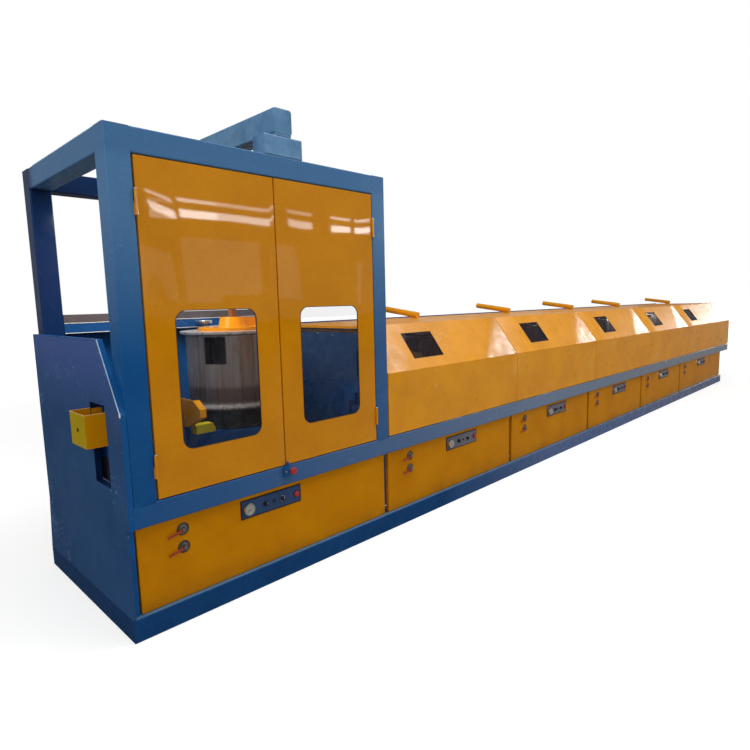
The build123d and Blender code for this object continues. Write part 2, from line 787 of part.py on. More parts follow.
with BuildPart() as door_hinge_pins:
    for hinge_x, side in ((door_axis_inset, -1), (tall_length - door_axis_inset, 1)):
        for z in door_hinge_bottoms:
            with BuildSketch(Plane.XY.offset(z)):
                with Locations((hinge_x, door_axis_y)):
                    Circle(door_hinge_r)
                with Locations((hinge_x + side * door_leaf / 2, front - door_leaf_thick / 2)):
                    Rectangle(door_leaf, door_leaf_thick)
            extrude(amount=hinge_half)
            with Locations((hinge_x, door_axis_y, z)):
                Cylinder(door_pin_r, door_hinge_height, align=(Align.CENTER, Align.CENTER, Align.MIN))
save(door_hinge_pins, "door_hinge_pins")

# Hoods: folded sheet covers with flanged ends, a tinted window, hinge knuckles and a weight arm


def hood(index, x0, x1):
    """One hood between two end planes, with its pane in a piece of its own."""
    bottom = rail_top + part_gap
    rear = back - part_gap
    with BuildPart() as cover:
        with BuildSketch(Plane.YZ.offset(x0)):
            with BuildLine():
                Polyline(*end_outline(0, bottom, rear), close=True)
            make_face()
        extrude(amount=x1 - x0)
        with BuildSketch(Plane.YZ.offset(x0 + sheet)):
            with BuildLine():
                Polyline(*end_outline(sheet, bottom, rear), close=True)
            make_face()
        extrude(amount=x1 - x0 - 2 * sheet, mode=Mode.SUBTRACT)
        with BuildSketch(Plane.YZ.offset(x0)):
            with BuildLine():
                Polyline(*end_outline(hood_flange, bottom, rear), close=True)
            make_face()
        extrude(amount=x1 - x0, mode=Mode.SUBTRACT)
        slope_plane = Plane((x0, front, hood_fold), x_dir=(1, 0, 0), z_dir=(0, -sin(slope), cos(slope)))
        with BuildSketch(slope_plane):
            with Locations((hood_window_offset + hood_window_width / 2,
                            (hood_window_low + hood_window_high) / 2)):
                Rectangle(hood_window_width, hood_window_high - hood_window_low)
        extrude(amount=-sheet * 2, mode=Mode.SUBTRACT)
        for hinge_x in (x0 + hood_hinge_inset, x1 - hood_hinge_inset):
            for x in (hinge_x - hood_bracket / 2 - part_gap - hood_knuckle,
                      hinge_x + hood_bracket / 2 + part_gap):
                with BuildSketch(Plane.YZ.offset(x)):
                    with Locations((hood_axis_y, hood_axis_z)):
                        Circle(hood_knuckle_r)
                    with BuildLine():
                        Polyline((rear - part_gap, hood_top - sheet), (rear - part_gap, hood_top),
                                 (rear, hood_top), (hood_axis_y, hood_axis_z + hood_knuckle_r),
                                 (hood_axis_y - hood_knuckle_r, hood_axis_z), close=True)
                    make_face()
                    with Locations((hood_axis_y, hood_axis_z)):
                        Circle(hood_pin_r + pin_clearance, mode=Mode.SUBTRACT)
                extrude(amount=hood_knuckle)
        arm_x = x1 - arm_inset
        foot_y = front + arm_foot_back
        foot = Plane((arm_x, foot_y, hood_top + arm_r), x_dir=(1, 0, 0),
                     z_dir=(0, cos(radians(arm_rise_deg)), sin(radians(arm_rise_deg))))
        bar(arm_x - arm_r / 2, arm_x + arm_r / 2, foot_y, foot_y + arm_saddle, hood_top, hood_top + arm_r)
        with BuildSketch(foot):
            Circle(arm_r)
        extrude(amount=arm_length)
        with BuildSketch(foot.offset(arm_length)):
            Circle(arm_r - arm_wall)
        extrude(amount=-arm_length * 0.8, mode=Mode.SUBTRACT)
    save(cover, "hood_" + str(index))
    with BuildPart() as pane:
        with BuildSketch(slope_plane.offset(-sheet)):
            with Locations((hood_window_offset + hood_window_width / 2,
                            (hood_window_low + hood_window_high) / 2)):
                Rectangle(hood_window_width + 2 * pane_lap, hood_window_high - hood_window_low + 2 * pane_lap)
        extrude(amount=-pane_thick)
    save(pane, "hood_window_" + str(index))


hood_lefts = [hood_joints[0] + part_gap] + [joint + part_gap / 2 for joint in hood_joints[1:-1]]
hood_rights = [joint - part_gap / 2 for joint in hood_joints[1:-1]] + [hoods_end]

for i, (x0, x1) in enumerate(zip(hood_lefts, hood_rights)):
    hood(i + 1, x0, x1)

# Brackets and pins that carry the hoods behind the rear rail

with BuildPart() as hood_hinge_brackets:
    for x0, x1 in zip(hood_lefts, hood_rights):
        for hinge_x in (x0 + hood_hinge_inset, x1 - hood_hinge_inset):
            with BuildSketch(Plane.YZ.offset(hinge_x - hood_bracket / 2)):
                with Locations((hood_axis_y, hood_axis_z)):
                    Circle(hood_knuckle_r)
                with BuildLine():
                    Polyline((back, rear_rail_top - rear_rail_height),
                             (top_bar_front, hood_axis_z - hood_bracket_height),
                             (top_bar_front, hood_axis_z - hood_bracket_height / 2),
                             (hood_axis_y, hood_axis_z), (back, rear_rail_top), close=True)
                make_face()
            extrude(amount=hood_bracket)
            pin_half = hood_bracket / 2 + part_gap + hood_knuckle
            with BuildSketch(Plane.YZ.offset(hinge_x - pin_half)):
                with Locations((hood_axis_y, hood_axis_z)):
                    Circle(hood_pin_r)
            extrude(amount=2 * pin_half)
save(hood_hinge_brackets, "hood_hinge_brackets")
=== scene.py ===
import json
from math import cos, pi, radians, sin

import bmesh
import bpy
from mathutils import Matrix, Vector

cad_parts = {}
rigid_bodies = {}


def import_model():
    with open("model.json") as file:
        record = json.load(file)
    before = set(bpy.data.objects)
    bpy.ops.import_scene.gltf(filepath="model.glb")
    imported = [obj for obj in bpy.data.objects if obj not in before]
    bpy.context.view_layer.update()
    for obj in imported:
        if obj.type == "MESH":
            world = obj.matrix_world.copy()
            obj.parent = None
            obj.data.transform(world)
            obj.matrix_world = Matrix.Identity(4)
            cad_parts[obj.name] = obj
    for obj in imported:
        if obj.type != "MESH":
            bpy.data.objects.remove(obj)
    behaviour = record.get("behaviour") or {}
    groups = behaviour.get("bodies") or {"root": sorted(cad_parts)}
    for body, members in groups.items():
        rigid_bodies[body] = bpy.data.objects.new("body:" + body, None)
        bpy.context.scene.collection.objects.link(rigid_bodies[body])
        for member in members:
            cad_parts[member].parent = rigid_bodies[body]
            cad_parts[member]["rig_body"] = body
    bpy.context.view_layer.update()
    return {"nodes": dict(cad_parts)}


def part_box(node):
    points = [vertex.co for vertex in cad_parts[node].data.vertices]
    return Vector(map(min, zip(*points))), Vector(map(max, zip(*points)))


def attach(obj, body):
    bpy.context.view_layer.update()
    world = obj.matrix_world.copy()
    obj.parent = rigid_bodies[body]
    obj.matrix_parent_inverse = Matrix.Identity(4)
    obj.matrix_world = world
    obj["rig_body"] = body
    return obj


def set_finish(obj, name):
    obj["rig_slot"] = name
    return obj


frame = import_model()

NODES = frame["nodes"]
X, Y, Z = 0, 1, 2

# Places on the machine, in metres, as the CAD part has them
FRONT = -0.600
PANEL_FACE = -0.575
PANEL_JOINTS = (1.673, 3.253, 4.833, 6.413, 7.993)
PLATE_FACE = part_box("control_plates")[0].y
PLATE_MIDDLE, PLATE_WIDTH, PLATE_HEIGHT = 0.457, 0.382, 0.090
PLATE_LEFTS = (0.563, 2.341, 3.921, 5.501, 7.081, 8.898)
VALVE_XS = (0.234, 1.918, 3.498, 5.078, 6.658, 8.238)
VALVE_ZS = (0.373, 0.463)
DRUM_X = 0.920
DOOR_JOINT = 0.840
HINGE_XS = (0.1145, 1.5655)
HINGE_ZS = (0.750, 1.930)
HINGE_HEIGHT = 0.110
HOOD_LEFTS = (1.686, 3.318, 4.953, 6.588, 8.223)
HOOD_FOLD_Z, HOOD_TOP_Z, HOOD_TOP_Y = 1.066, 1.372, -0.367
SLOPE = Vector((0, HOOD_TOP_Y - FRONT, HOOD_TOP_Z - HOOD_FOLD_Z)).normalized()
SLOPE_OUT = Vector((0, -SLOPE.z, SLOPE.y))

FRONTWARD, BACKWARD = Vector((0, -1, 0)), Vector((0, 1, 0))
FACING_FRONT, FACING_LEFT = (pi / 2, 0, 0), (0, -pi / 2, 0)
CUBE, PLANE = bpy.ops.mesh.primitive_cube_add, bpy.ops.mesh.primitive_plane_add
CYLINDER = bpy.ops.mesh.primitive_cylinder_add


def linear(colour):
    """An sRGB hex colour as the linear colour that a shader takes."""
    parts = [int(colour[i:i + 2], 16) / 255 for i in (1, 3, 5)]
    return [p / 12.92 if p <= 0.04045 else ((p + 0.055) / 1.055) ** 2.4 for p in parts] + [1.0]


def feed(tree, node, sockets):
    """Sets inputs of a shader node to plain values, or links them to outputs of other nodes."""
    for key, value in sockets.items():
        if isinstance(value, bpy.types.NodeSocket):
            tree.links.new(value, node.inputs[key])
        else:
            node.inputs[key].default_value = value


def add(tree, kind, sockets, **settings):
    """Adds a shader node, sets its properties and feeds its inputs."""
    made = tree.nodes.new(kind)
    for name, value in settings.items():
        setattr(made, name, value)
    feed(tree, made, sockets)
    return made


def noise(tree, place, size, detail, rough=0.5, distortion=0.0):
    """Cloudy noise with lumps of a size in metres."""
    return add(tree, "ShaderNodeTexNoise", {"Vector": place, "Scale": 1 / size, "Detail": detail,
                                            "Roughness": rough, "Distortion": distortion}).outputs[0]


def mapped(tree, value, reach, result=(0.0, 1.0), **settings):
    """A value taken from one range to another and held at its ends."""
    sockets = dict(enumerate((value, *reach, *result)))
    return add(tree, "ShaderNodeMapRange", sockets, **settings).outputs[0]


def maths(tree, operation, *values):
    """One step of arithmetic on values or links."""
    return add(tree, "ShaderNodeMath", dict(enumerate(values)), operation=operation).outputs[0]


def blend(tree, share, first, second, **settings):
    """A mix of two colours, each a hex colour or a link, by the share of the second."""
    first, second = (linear(each) if isinstance(each, str) else each for each in (first, second))
    return add(tree, "ShaderNodeMix", {0: share, 6: first, 7: second}, data_type="RGBA",
               **settings).outputs[2]


def ramp(tree, value, stops):
    """A colour ramp through (place, hex colour) stops."""
    made = add(tree, "ShaderNodeValToRGB", {0: value})
    elements = made.color_ramp.elements
    for _ in range(len(stops) - 2):
        elements.new(0.5)
    for element, (at, colour) in zip(elements, stops):
        element.position = at
        element.color = linear(colour)
    return made.outputs[0]


def stretched(tree, place, scale):
    """Coordinates scaled by axis, so that noise on them runs in streaks."""
    return add(tree, "ShaderNodeMapping", {"Vector": place, "Scale": scale}).outputs[0]


def bump(tree, height, depth, strength, under=None):
    """Relief of a depth in metres, on top of the relief under it."""
    sockets = {"Height": height, "Distance": depth, "Strength": strength}
    if under:
        sockets["Normal"] = under
    return add(tree, "ShaderNodeBump", sockets).outputs[0]


def blank(name, rough, metallic=0.0):
    """A new material with its tree, its shader, its Object coordinates, plain roughness and metal."""
    material = bpy.data.materials.new(name)
    material.use_nodes = True
    tree = material.node_tree
    shader = tree.nodes["Principled BSDF"]
    feed(tree, shader, {"Roughness": rough, "Metallic": metallic})
    return material, tree, shader, add(tree, "ShaderNodeTexCoord", {}).outputs["Object"]


def enamel(name, coat, thin, rough, warp, gloss=0.3, peel=0.0001, shade_and_dirt_foot=None, shifts=(), swell=None,
           flecks=None):
    """Sprayed machine enamel on steel: cloudy passes, orange peel, sheet that is not quite flat.
    warp is the (height, size) of its waves; the foot pair is the (colour, height) of a foot darker with
    painted shade and dirt; shifts are (colour, axis, from, to) of colours that take over along an axis,
    most of them painted light and shade; swell gives the height of dents and rolled edges; flecks is
    the colour of small chips and rubs."""
    material, tree, shader, place = blank(name, rough)
    along = add(tree, "ShaderNodeSeparateXYZ", {0: place}).outputs
    passes = noise(tree, place, 0.28, 5.0, 0.62)
    colour = blend(tree, mapped(tree, passes, (0.36, 0.66)), coat, thin)
    for tint, axis, start, end in shifts:
        colour = blend(tree, mapped(tree, along[axis], (start, end)), colour, tint)
    speck = noise(tree, place, 0.009, 3.0, 0.7)
    tone = mapped(tree, speck, (0.3, 0.7), (0.93, 1.06))
    colour = add(tree, "ShaderNodeVectorMath", {0: colour, "Scale": tone}, operation="SCALE").outputs[0]
    # Darker towards the bottom: painted shade, with dirt
    if shade_and_dirt_foot:
        foot_colour, foot_top = shade_and_dirt_foot
        low = mapped(tree, along[Z], (0.0, foot_top), (1.0, 0.0), interpolation_type="SMOOTHSTEP")
        colour = blend(tree, maths(tree, "MULTIPLY", low, passes), colour, foot_colour)
    if flecks:
        chips, field = noise(tree, place, 0.016, 2.0), noise(tree, place, 0.35, 2.0)
        bare = mapped(tree, maths(tree, "MULTIPLY", chips, field), (0.39, 0.44), (0.0, 0.38))
        colour = blend(tree, bare, colour, flecks)
    rub = noise(tree, place, 0.11, 6.0, 0.7)
    wave_height, wave_size = warp
    skin = bump(tree, noise(tree, place, wave_size, 1.0), wave_height, 1.0)
    if swell:
        skin = bump(tree, swell(tree, along), 1.0, 1.0, skin)
    skin = bump(tree, noise(tree, place, 0.0035, 2.0), peel, 0.6, skin)
    feed(tree, shader, {"Base Color": colour, "Normal": skin,
                        "Roughness": mapped(tree, rub, (0.35, 0.75), (rough * 0.8, rough * 1.7)),
                        "Specular IOR Level": gloss, "Coat Weight": gloss * 0.5,
                        "Coat Roughness": rough * 0.5})
    return material


# Where a door sheet leans out: from x, to x, and how far per metre above or below the middle
DOOR_PULLS = ((0.330, 0.110, 0.011), (1.440, 1.566, 0.004), (0.800, 0.838, 0.005),
              (1.050, 0.842, 0.004))
DOOR_PULL_MIDDLE = 1.98


def pulled_door_edges(tree, along):
    """The door sheets lean out where their hinges pull them, and kink where they meet."""
    total = 0.0
    for start, end, lean in DOOR_PULLS:
        near = mapped(tree, along[X], (start, end), interpolation_type="SMOOTHSTEP")
        side = "LESS_THAN" if start < DOOR_JOINT else "GREATER_THAN"
        part = maths(tree, "MULTIPLY", near, maths(tree, side, along[X], DOOR_JOINT))
        total = maths(tree, "MULTIPLY_ADD", part, lean, total)
    return maths(tree, "MULTIPLY", total, maths(tree, "SUBTRACT", along[Z], DOOR_PULL_MIDDLE))


# The first of four equal short hoods, from x to x, and the long last one
SHORT_HOOD_START, SHORT_HOOD_END, LAST_HOOD_START, LAST_HOOD_LENGTH = 1.683, 3.318, 8.223, 2.427
# How far the rolls reach in from a hood's ends, at the fold and at the top of its slope
RIGHT_REACH, LEFT_REACH, ROLL_SOFTNESS = (0.54, 0.12), (0.24, 0.40), 0.30
# How steeply the rolls fall: RIGHT_FALL over x at right ends, LEFT_FALLS between two xs at left ends
RIGHT_FALL, LEFT_FALLS, LEFT_FALL_XS = -1.35, (-0.13, -0.36), (1.7, 8.2)


def rolled_hood_ends(tree, along):
    """The slope of each hood rolls down to the joints at its ends, more at the right end's foot."""
    last = maths(tree, "GREATER_THAN", along[X], LAST_HOOD_START - 0.0015)
    short = maths(tree, "WRAP", along[X], SHORT_HOOD_START, SHORT_HOOD_END)
    short = maths(tree, "SUBTRACT", short, SHORT_HOOD_START)
    lengthy = maths(tree, "SUBTRACT", along[X], LAST_HOOD_START)
    from_left = add(tree, "ShaderNodeMix", {0: last, 2: short, 3: lengthy}).outputs[0]
    length = mapped(tree, last, (0.0, 1.0), (SHORT_HOOD_END - SHORT_HOOD_START, LAST_HOOD_LENGTH))
    from_right = maths(tree, "SUBTRACT", length, from_left)
    right_fall = maths(tree, "DIVIDE", RIGHT_FALL, along[X])
    left_fall = mapped(tree, along[X], LEFT_FALL_XS, LEFT_FALLS)
    total = 0.0
    for distance, reach, fall in ((from_right, RIGHT_REACH, right_fall),
                                  (from_left, LEFT_REACH, left_fall)):
        width = mapped(tree, along[Z], (HOOD_FOLD_Z, HOOD_TOP_Z), reach)
        rest = maths(tree, "MAXIMUM", maths(tree, "SUBTRACT", width, distance), 0.0)
        square = maths(tree, "MULTIPLY", rest, rest)
        rest = maths(tree, "DIVIDE", square, maths(tree, "ADD", rest, ROLL_SOFTNESS))
        total = maths(tree, "MULTIPLY_ADD", rest, fall, total)
    on_slope = maths(tree, "GREATER_THAN", along[Z], HOOD_FOLD_Z + 0.001)
    return maths(tree, "MULTIPLY", total, on_slope)


def worn_metal(name, colour, tarnish, rough, grain):
    """Bare or plated metal: tool marks of a grain, patches of tarnish or oil, uneven gloss."""
    material, tree, shader, place = blank(name, rough, 1.0)
    marks = noise(tree, place, grain, 4.0)
    patch = noise(tree, place, 0.035, 5.0, 0.65)
    feed(tree, shader, {"Base Color": blend(tree, mapped(tree, patch, (0.45, 0.7)), colour, tarnish),
                        "Roughness": mapped(tree, marks, (0.3, 0.7), (rough * 0.7, rough * 1.5)),
                        "Normal": bump(tree, marks, 0.0001, 0.5)})
    return material


def moulding(name, colour, pale, rough):
    """Moulded plastic or rubber: fine grain from the mould, and patches of paler dust."""
    material, tree, shader, place = blank(name, rough)
    dust = mapped(tree, noise(tree, place, 0.006, 4.0), (0.4, 0.75), (0.0, 0.45))
    feed(tree, shader, {"Base Color": blend(tree, dust, colour, pale),
                        "Normal": bump(tree, noise(tree, place, 0.0012, 2.0), 0.00006, 0.5)})
    return material


def pane(name, colour, haze, alpha):
    """Polycarbonate sheet: see-through, with wiped haze that dulls its gloss in arcs."""
    material, tree, shader, place = blank(name, 0.05)
    wipe = noise(tree, place, 0.09, 5.0, distortion=1.6)
    feed(tree, shader, {"Base Color": blend(tree, mapped(tree, wipe, (0.4, 0.75)), colour, haze),
                        "Roughness": mapped(tree, wipe, (0.4, 0.8), (0.03, 0.16)),
                        "Alpha": alpha, "IOR": 1.58})
    return material


# Orange and blue alkyd enamel sprayed on steel: glossy, a little wavy, cloudy where a pass was thin
orange_doors = enamel("orange_alkyd_enamel_on_door_sheet", "#cb8300", "#c27b00", rough=0.022,
                      warp=(0.0010, 0.40), gloss=0.5, peel=0.000012, swell=pulled_door_edges)
orange_hoods = enamel("orange_alkyd_enamel_on_hood_sheet", "#de9400", "#d08600", rough=0.31,
                      warp=(0.0016, 0.50), gloss=0.34, peel=0.00008, swell=rolled_hood_ends,
                      flecks="#ecd9ae")
# Lower panels: darker towards the bottom, painted shade with dirt
orange_panels = enamel("orange_alkyd_enamel_on_lower_panels", "#c47f00", "#b87300", rough=0.20,
                       warp=(0.0012, 0.30), gloss=0.06, shade_and_dirt_foot=("#6a4a1c", 0.25))
# Brackets: the left end face yellower, the bracket's own yellow, and darker, painted shade on that side
orange_brackets = enamel("orange_alkyd_enamel_on_folded_brackets", "#cc8800", "#be7800", rough=0.22,
                         warp=(0.0006, 0.12), gloss=0.05, shifts=(("#a88e00", X, -0.1165, -0.1175),))
# Frame: greyer along the machine, a painted sheen on its far parts; lighter up high and on the top
# beams, painted light; darker on the back posts and beams, painted shade; darker at the foot, painted
# shade with dirt
blue_frame = enamel("blue_alkyd_enamel_on_square_tube", "#135089", "#104a80", rough=0.20,
                    warp=(0.0008, 0.22), gloss=0.15, shade_and_dirt_foot=("#08223f", 0.95),
                    shifts=(("#6a7a92", X, 0.8, 4.4), ("#7b8088", X, 4.4, 8.0),
                            ("#4a759f", Z, 1.30, 1.95), ("#446e98", Z, 2.15, 2.20),
                            ("#102c56", Y, 0.40, 0.48)))
# Front rail: greyer along the machine, a painted sheen on its far part
blue_front_rail = enamel("blue_alkyd_enamel_on_front_rail", "#135089", "#104a80", rough=0.20,
                         warp=(0.0008, 0.22), gloss=0.15,
                         shifts=(("#6a7a92", X, -0.2, 3.8), ("#7b8088", X, 4.0, 8.0)))
# Lifting beam: a much paler blue than the frame's, the light that falls on it from high at the left
# painted in
blue_gantry = enamel("blue_alkyd_enamel_on_lifting_beam", "#6b96bc", "#426c92", rough=0.24,
                     warp=(0.0008, 0.10), gloss=0.35)
blue_rails = enamel("blue_alkyd_enamel_on_rear_rails", "#1a5089", "#174a80", rough=0.22,
                    warp=(0.0008, 0.22), gloss=0.25, shifts=(("#5c5557", Z, 1.4505, 1.4515),))
# Base channels: greyer along the machine, a painted sheen on the far parts; darker on the end face,
# painted shade; paler on the top, a painted highlight along the ledge
blue_base = enamel("blue_alkyd_enamel_on_rolled_channel", "#154374", "#123a68", rough=0.24,
                   warp=(0.0008, 0.20), gloss=0.05,
                   shifts=(("#52668b", X, 2.2, 4.0), ("#646c86", X, 5.0, 8.0),
                           ("#0e3560", X, -0.0385, -0.0395), ("#56738f", Z, 0.1130, 0.1138)))
# End sheet: the side face darker and more violet than the fold, which has the frame's blue, as painted
# shade; its upper part lighter, painted light from above
blue_sheet = enamel("blue_alkyd_enamel_on_end_sheet", "#2c4d77", "#25456e", rough=0.20,
                    warp=(0.0020, 0.25), gloss=0.02, flecks="#8fa6c4",
                    shifts=(("#43588c", Z, 0.98, 1.34), ("#1a5089", X, -0.0245, -0.0235)))
# Inside: greyer and darker above the deck, painted shade up high
blue_inside = enamel("blue_alkyd_enamel_with_oil_film", "#1d4c84", "#153a6c", rough=0.26,
                     warp=(0.0010, 0.18), shifts=(("#2a4062", Z, 0.92, 1.02),))
dark_inside = enamel("navy_alkyd_enamel_in_shade", "#0d2242", "#0a1b36", rough=0.3,
                     warp=(0.0005, 0.10), gloss=0.1)
# Control plates: greyer along the machine, a painted sheen on the far plates
blue_plate = enamel("blue_alkyd_enamel_on_control_plates", "#33496e", "#2a3f62", rough=0.28,
                    warp=(0.0003, 0.05), gloss=0.1, shifts=(("#696970", X, 1.8, 2.6),))
green_holder = enamel("yellow_green_enamel_on_die_holder", "#c2b810", "#a89c0a", rough=0.26,
                      warp=(0.0004, 0.04))

# Zinc, chromium and nickel plate: bright with small dull patches
plated_screws = worn_metal("zinc_plated_steel_screws", "#b9bcc0", "#77797c", rough=0.32, grain=0.0015)
bright_steel = worn_metal("ground_bearing_steel", "#d4d6d8", "#a9abad", rough=0.22, grain=0.002)
bezel_chrome = worn_metal("chromium_plated_bezels", "#d9dadb", "#a4a6a8", rough=0.14, grain=0.003)
dull_nickel = worn_metal("oiled_nickel_plate_in_valve_holes", "#8d8a84", "#4a4743", rough=0.62,
                         grain=0.002)
valve_nickel = worn_metal("nickel_plated_brass_valves", "#8d8a84", "#4c4a48", rough=0.35, grain=0.002)

# Moulded parts: phenolic knobs are near black and satin, caps and dipped levers bright and smooth
black_knob = moulding("black_phenolic_knobs", "#17171b", "#3b3a3c", rough=0.38)
black_rubber = moulding("black_rubber_window_seal", "#1b1216", "#3a2b2c", rough=0.6)
# Maroon rubber for edging and collars, also used as the painted shadow line round the control plates
maroon_rubber_and_painted_shadow = moulding("maroon_rubber_edging", "#2a1210", "#40221c", rough=0.6)
red_button = moulding("red_moulded_push_buttons", "#a32420", "#b04038", rough=0.40)
red_lever = moulding("red_vinyl_dipped_levers", "#94301a", "#a04a2c", rough=0.45)
dial_card = moulding("greyed_dial_card", "#9fa096", "#83857c", rough=0.4)
# Thin lines of paint, and pale lines painted on edges as highlights
painted_edge_highlight = moulding("pale_blue_enamel_rubbed_on_edges", "#a9c6de", "#86a8c6", rough=0.3)
painted_orange_edge_highlight = moulding("pale_orange_enamel_rubbed_on_edges", "#e6b878", "#d09a50", rough=0.35)
# White: marking paint on the knobs, and painted highlights on the rear rail and the end sheet's corner
white_paint_and_highlights = moulding("white_marking_paint", "#dfe0dc", "#b9bab6", rough=0.45)
dark_paint = moulding("black_marking_paint", "#1c1c20", "#2c2c30", rough=0.5)

# Polycarbonate sheet: clear on the doors, smoked violet on the hoods
clear_sheet = pane("clear_polycarbonate_sheet", "#343a40", "#6c7680", alpha=0.07)
smoked_sheet = pane("smoked_polycarbonate_sheet", "#120a14", "#2a1a28", alpha=0.45)

# Colours of the drum from its skirt up to its flange, as shares of the height between two levels; the
# dark bands of the skirt also carry painted shade under the flare
DRUM_SKIRT_Z, DRUM_FLANGE_Z = 0.80, 1.40
DRUM_BANDS = ((0.0, "#3c3c40"), (0.22, "#41424a"), (0.235, "#a9a8a8"), (0.27, "#b0acaa"),
              (0.29, "#6c5f5c"), (0.41, "#75665f"), (0.45, "#a49c98"), (0.90, "#b2aca8"),
              (0.94, "#d6d4d0"), (1.0, "#e6e4e0"))
HEAT_AND_SOAP = ((0.32, "#7c6a58"), (0.5, "#aaa6a4"), (0.66, "#c9c2cf"))


def drum_steel():
    """Turned and hardened drum: bright flange, wall streaked by heat and soap, dark skirt that also
    carries painted shade under its flare.
    """
    material, tree, shader, place = blank("hardened_drum_steel_with_soap_streaks", 0.28, 0.45)
    height = add(tree, "ShaderNodeSeparateXYZ", {0: place}).outputs[Z]
    bands = ramp(tree, mapped(tree, height, (DRUM_SKIRT_Z, DRUM_FLANGE_Z)), DRUM_BANDS)
    streak = noise(tree, stretched(tree, place, (1.0, 1.0, 0.05)), 0.045, 4.0, 0.7)
    turned = noise(tree, stretched(tree, place, (0.05, 0.05, 1.0)), 0.003, 3.0)
    feed(tree, shader, {"Base Color": blend(tree, 0.7, bands, ramp(tree, streak, HEAT_AND_SOAP),
                                            blend_type="MULTIPLY"),
                        "Roughness": mapped(tree, streak, (0.3, 0.7), (0.2, 0.42)),
                        "Normal": bump(tree, turned, 0.00015, 0.6)})
    return material


streaked_drum = drum_steel()
# The cap is enamelled like the doors, and the nut on it is bare and coppery
orange_cap = enamel("orange_enamel_on_cast_cap_and_coppery_nut", "#e09412", "#d4840c", rough=0.16,
                    warp=(0.0004, 0.06), shifts=(("#84502c", Z, 1.4625, 1.4635),))
deck_enamel = enamel("blue_alkyd_enamel_under_soap_dust", "#2b3a5e", "#4a5168", rough=0.45,
                     warp=(0.0005, 0.10))

NODE_FINISHES = {
    blue_base: ("base_long_channels", "base_cross_channels"),
    blue_front_rail: ("front_rail",),
    blue_frame: ("lower_posts", "back_rail", "rail_cross_members", "tall_posts", "top_long_beams",
                 "top_end_beams", "rear_posts", "door_latch", "hood_hinge_brackets"),
    blue_gantry: ("gantry_blocks", "gantry_tube"),
    blue_rails: ("rear_rails",),
    blue_sheet: ("left_end_panel", "right_end_panels", "rear_panels"),
    blue_inside: ("partition_wall", "block_housings", "die_posts"),
    deck_enamel: ("deck_plate",),
    blue_plate: ("control_plates",),
    orange_panels: ("lower_front_panels", "lower_back_panels"),
    orange_doors: ("left_door", "right_door", "door_hinge_pins"),
    orange_hoods: tuple("hood_%d" % (i + 1) for i in range(5)),
    orange_brackets: ("wire_entry_bracket", "die_trays"),
    green_holder: ("die_boxes",),
    streaked_drum: ("drawing_drum", "covered_drums"),
    orange_cap: ("drum_cap",),
    bright_steel: ("guide_roller",),
    bezel_chrome: ("pressure_gauges",),
    black_knob: ("control_knobs",),
    red_button: ("stop_button",),
    valve_nickel: ("ball_valves",),
    red_lever: ("valve_levers",),
    clear_sheet: ("left_door_window", "right_door_window"),
    smoked_sheet: tuple("hood_window_%d" % (i + 1) for i in range(5)),
}
for finish, names in NODE_FINISHES.items():
    for name in names:
        for node_slot in NODES[name].material_slots:
            node_slot.material = finish


def begin(name, primitive, **where):
    """Adds a primitive at its size and place with nothing else selected, and names it."""
    bpy.ops.object.select_all(action="DESELECT")
    primitive(**where)
    piece = bpy.context.object
    piece.name = piece.data.name = name
    bpy.ops.object.transform_apply(location=True, rotation=True, scale=True)
    return piece


def disc(name, centre, radius, depth, vertices=24):
    """A cylinder that faces the front, from its middle."""
    return begin(name, CYLINDER, vertices=vertices, radius=radius, depth=depth, location=centre,
                 rotation=FACING_FRONT)


def sized(name, primitive, middle, size, rotation=(0, 0, 0)):
    """A cube or plane stretched to its size, left in edit mode with all of it selected."""
    piece = begin(name, primitive, size=1.0, location=middle, rotation=rotation)
    bpy.ops.object.mode_set(mode="EDIT")
    bpy.ops.mesh.select_all(action="SELECT")
    bpy.ops.transform.resize(value=size, center_override=middle)
    return piece


def pick(piece, test, kind="FACE"):
    """Goes into edit mode and selects the faces or edges whose middle and direction pass the test."""
    bpy.ops.object.mode_set(mode="EDIT")
    bpy.ops.mesh.select_mode(type=kind)
    bpy.ops.mesh.select_all(action="DESELECT")
    shape = bmesh.from_edit_mesh(piece.data)
    shape.normal_update()
    if kind == "FACE":
        for face in shape.faces:
            face.select_set(test(face.calc_center_median(), face.normal))
    else:
        for edge in shape.edges:
            a, b = (v.co for v in edge.verts)
            edge.select_set(test((a + b) / 2, (b - a).normalized()))
    bmesh.update_edit_mesh(piece.data)


def faces_front(at, normal):
    """Test for faces that look to the front."""
    return normal.y < -0.9


def front_rim(y):
    """Test for the edges round a face that is further to the front than y."""
    return lambda at, line: abs(line.y) < 0.5 and at.y < y


def runs_along_x(at, line):
    """Test for edges that run along the machine."""
    return abs(line.x) > 0.9


def soften(piece, test, width, segments=2):
    """Bevels the edges that pass the test."""
    pick(piece, test, "EDGE")
    bpy.ops.mesh.bevel(offset=width, segments=segments, affect="EDGES")


def push(offset):
    """Extrudes the selected faces by an offset."""
    bpy.ops.mesh.extrude_region_move(TRANSFORM_OT_translate={"value": offset})


def step(wall, offset):
    """Insets the selected faces by a wall, and extrudes what is inside it by an offset."""
    bpy.ops.mesh.inset(thickness=wall)
    push(offset)


def pierce(wall):
    """Insets both picked ends of a cylinder by a wall, and opens it from end to end."""
    bpy.ops.mesh.inset(thickness=wall)
    bpy.ops.mesh.bridge_edge_loops()


def hollow(wall, depth):
    """Turns the sheet in edit mode into a frame with a wall, and extrudes it by a depth."""
    bpy.ops.mesh.select_all(action="SELECT")
    bpy.ops.mesh.inset(thickness=wall)
    bpy.ops.mesh.delete(type="FACE")
    bpy.ops.mesh.select_all(action="SELECT")
    push(depth)
    bpy.ops.mesh.select_all(action="SELECT")
    bpy.ops.mesh.normals_make_consistent(inside=False)


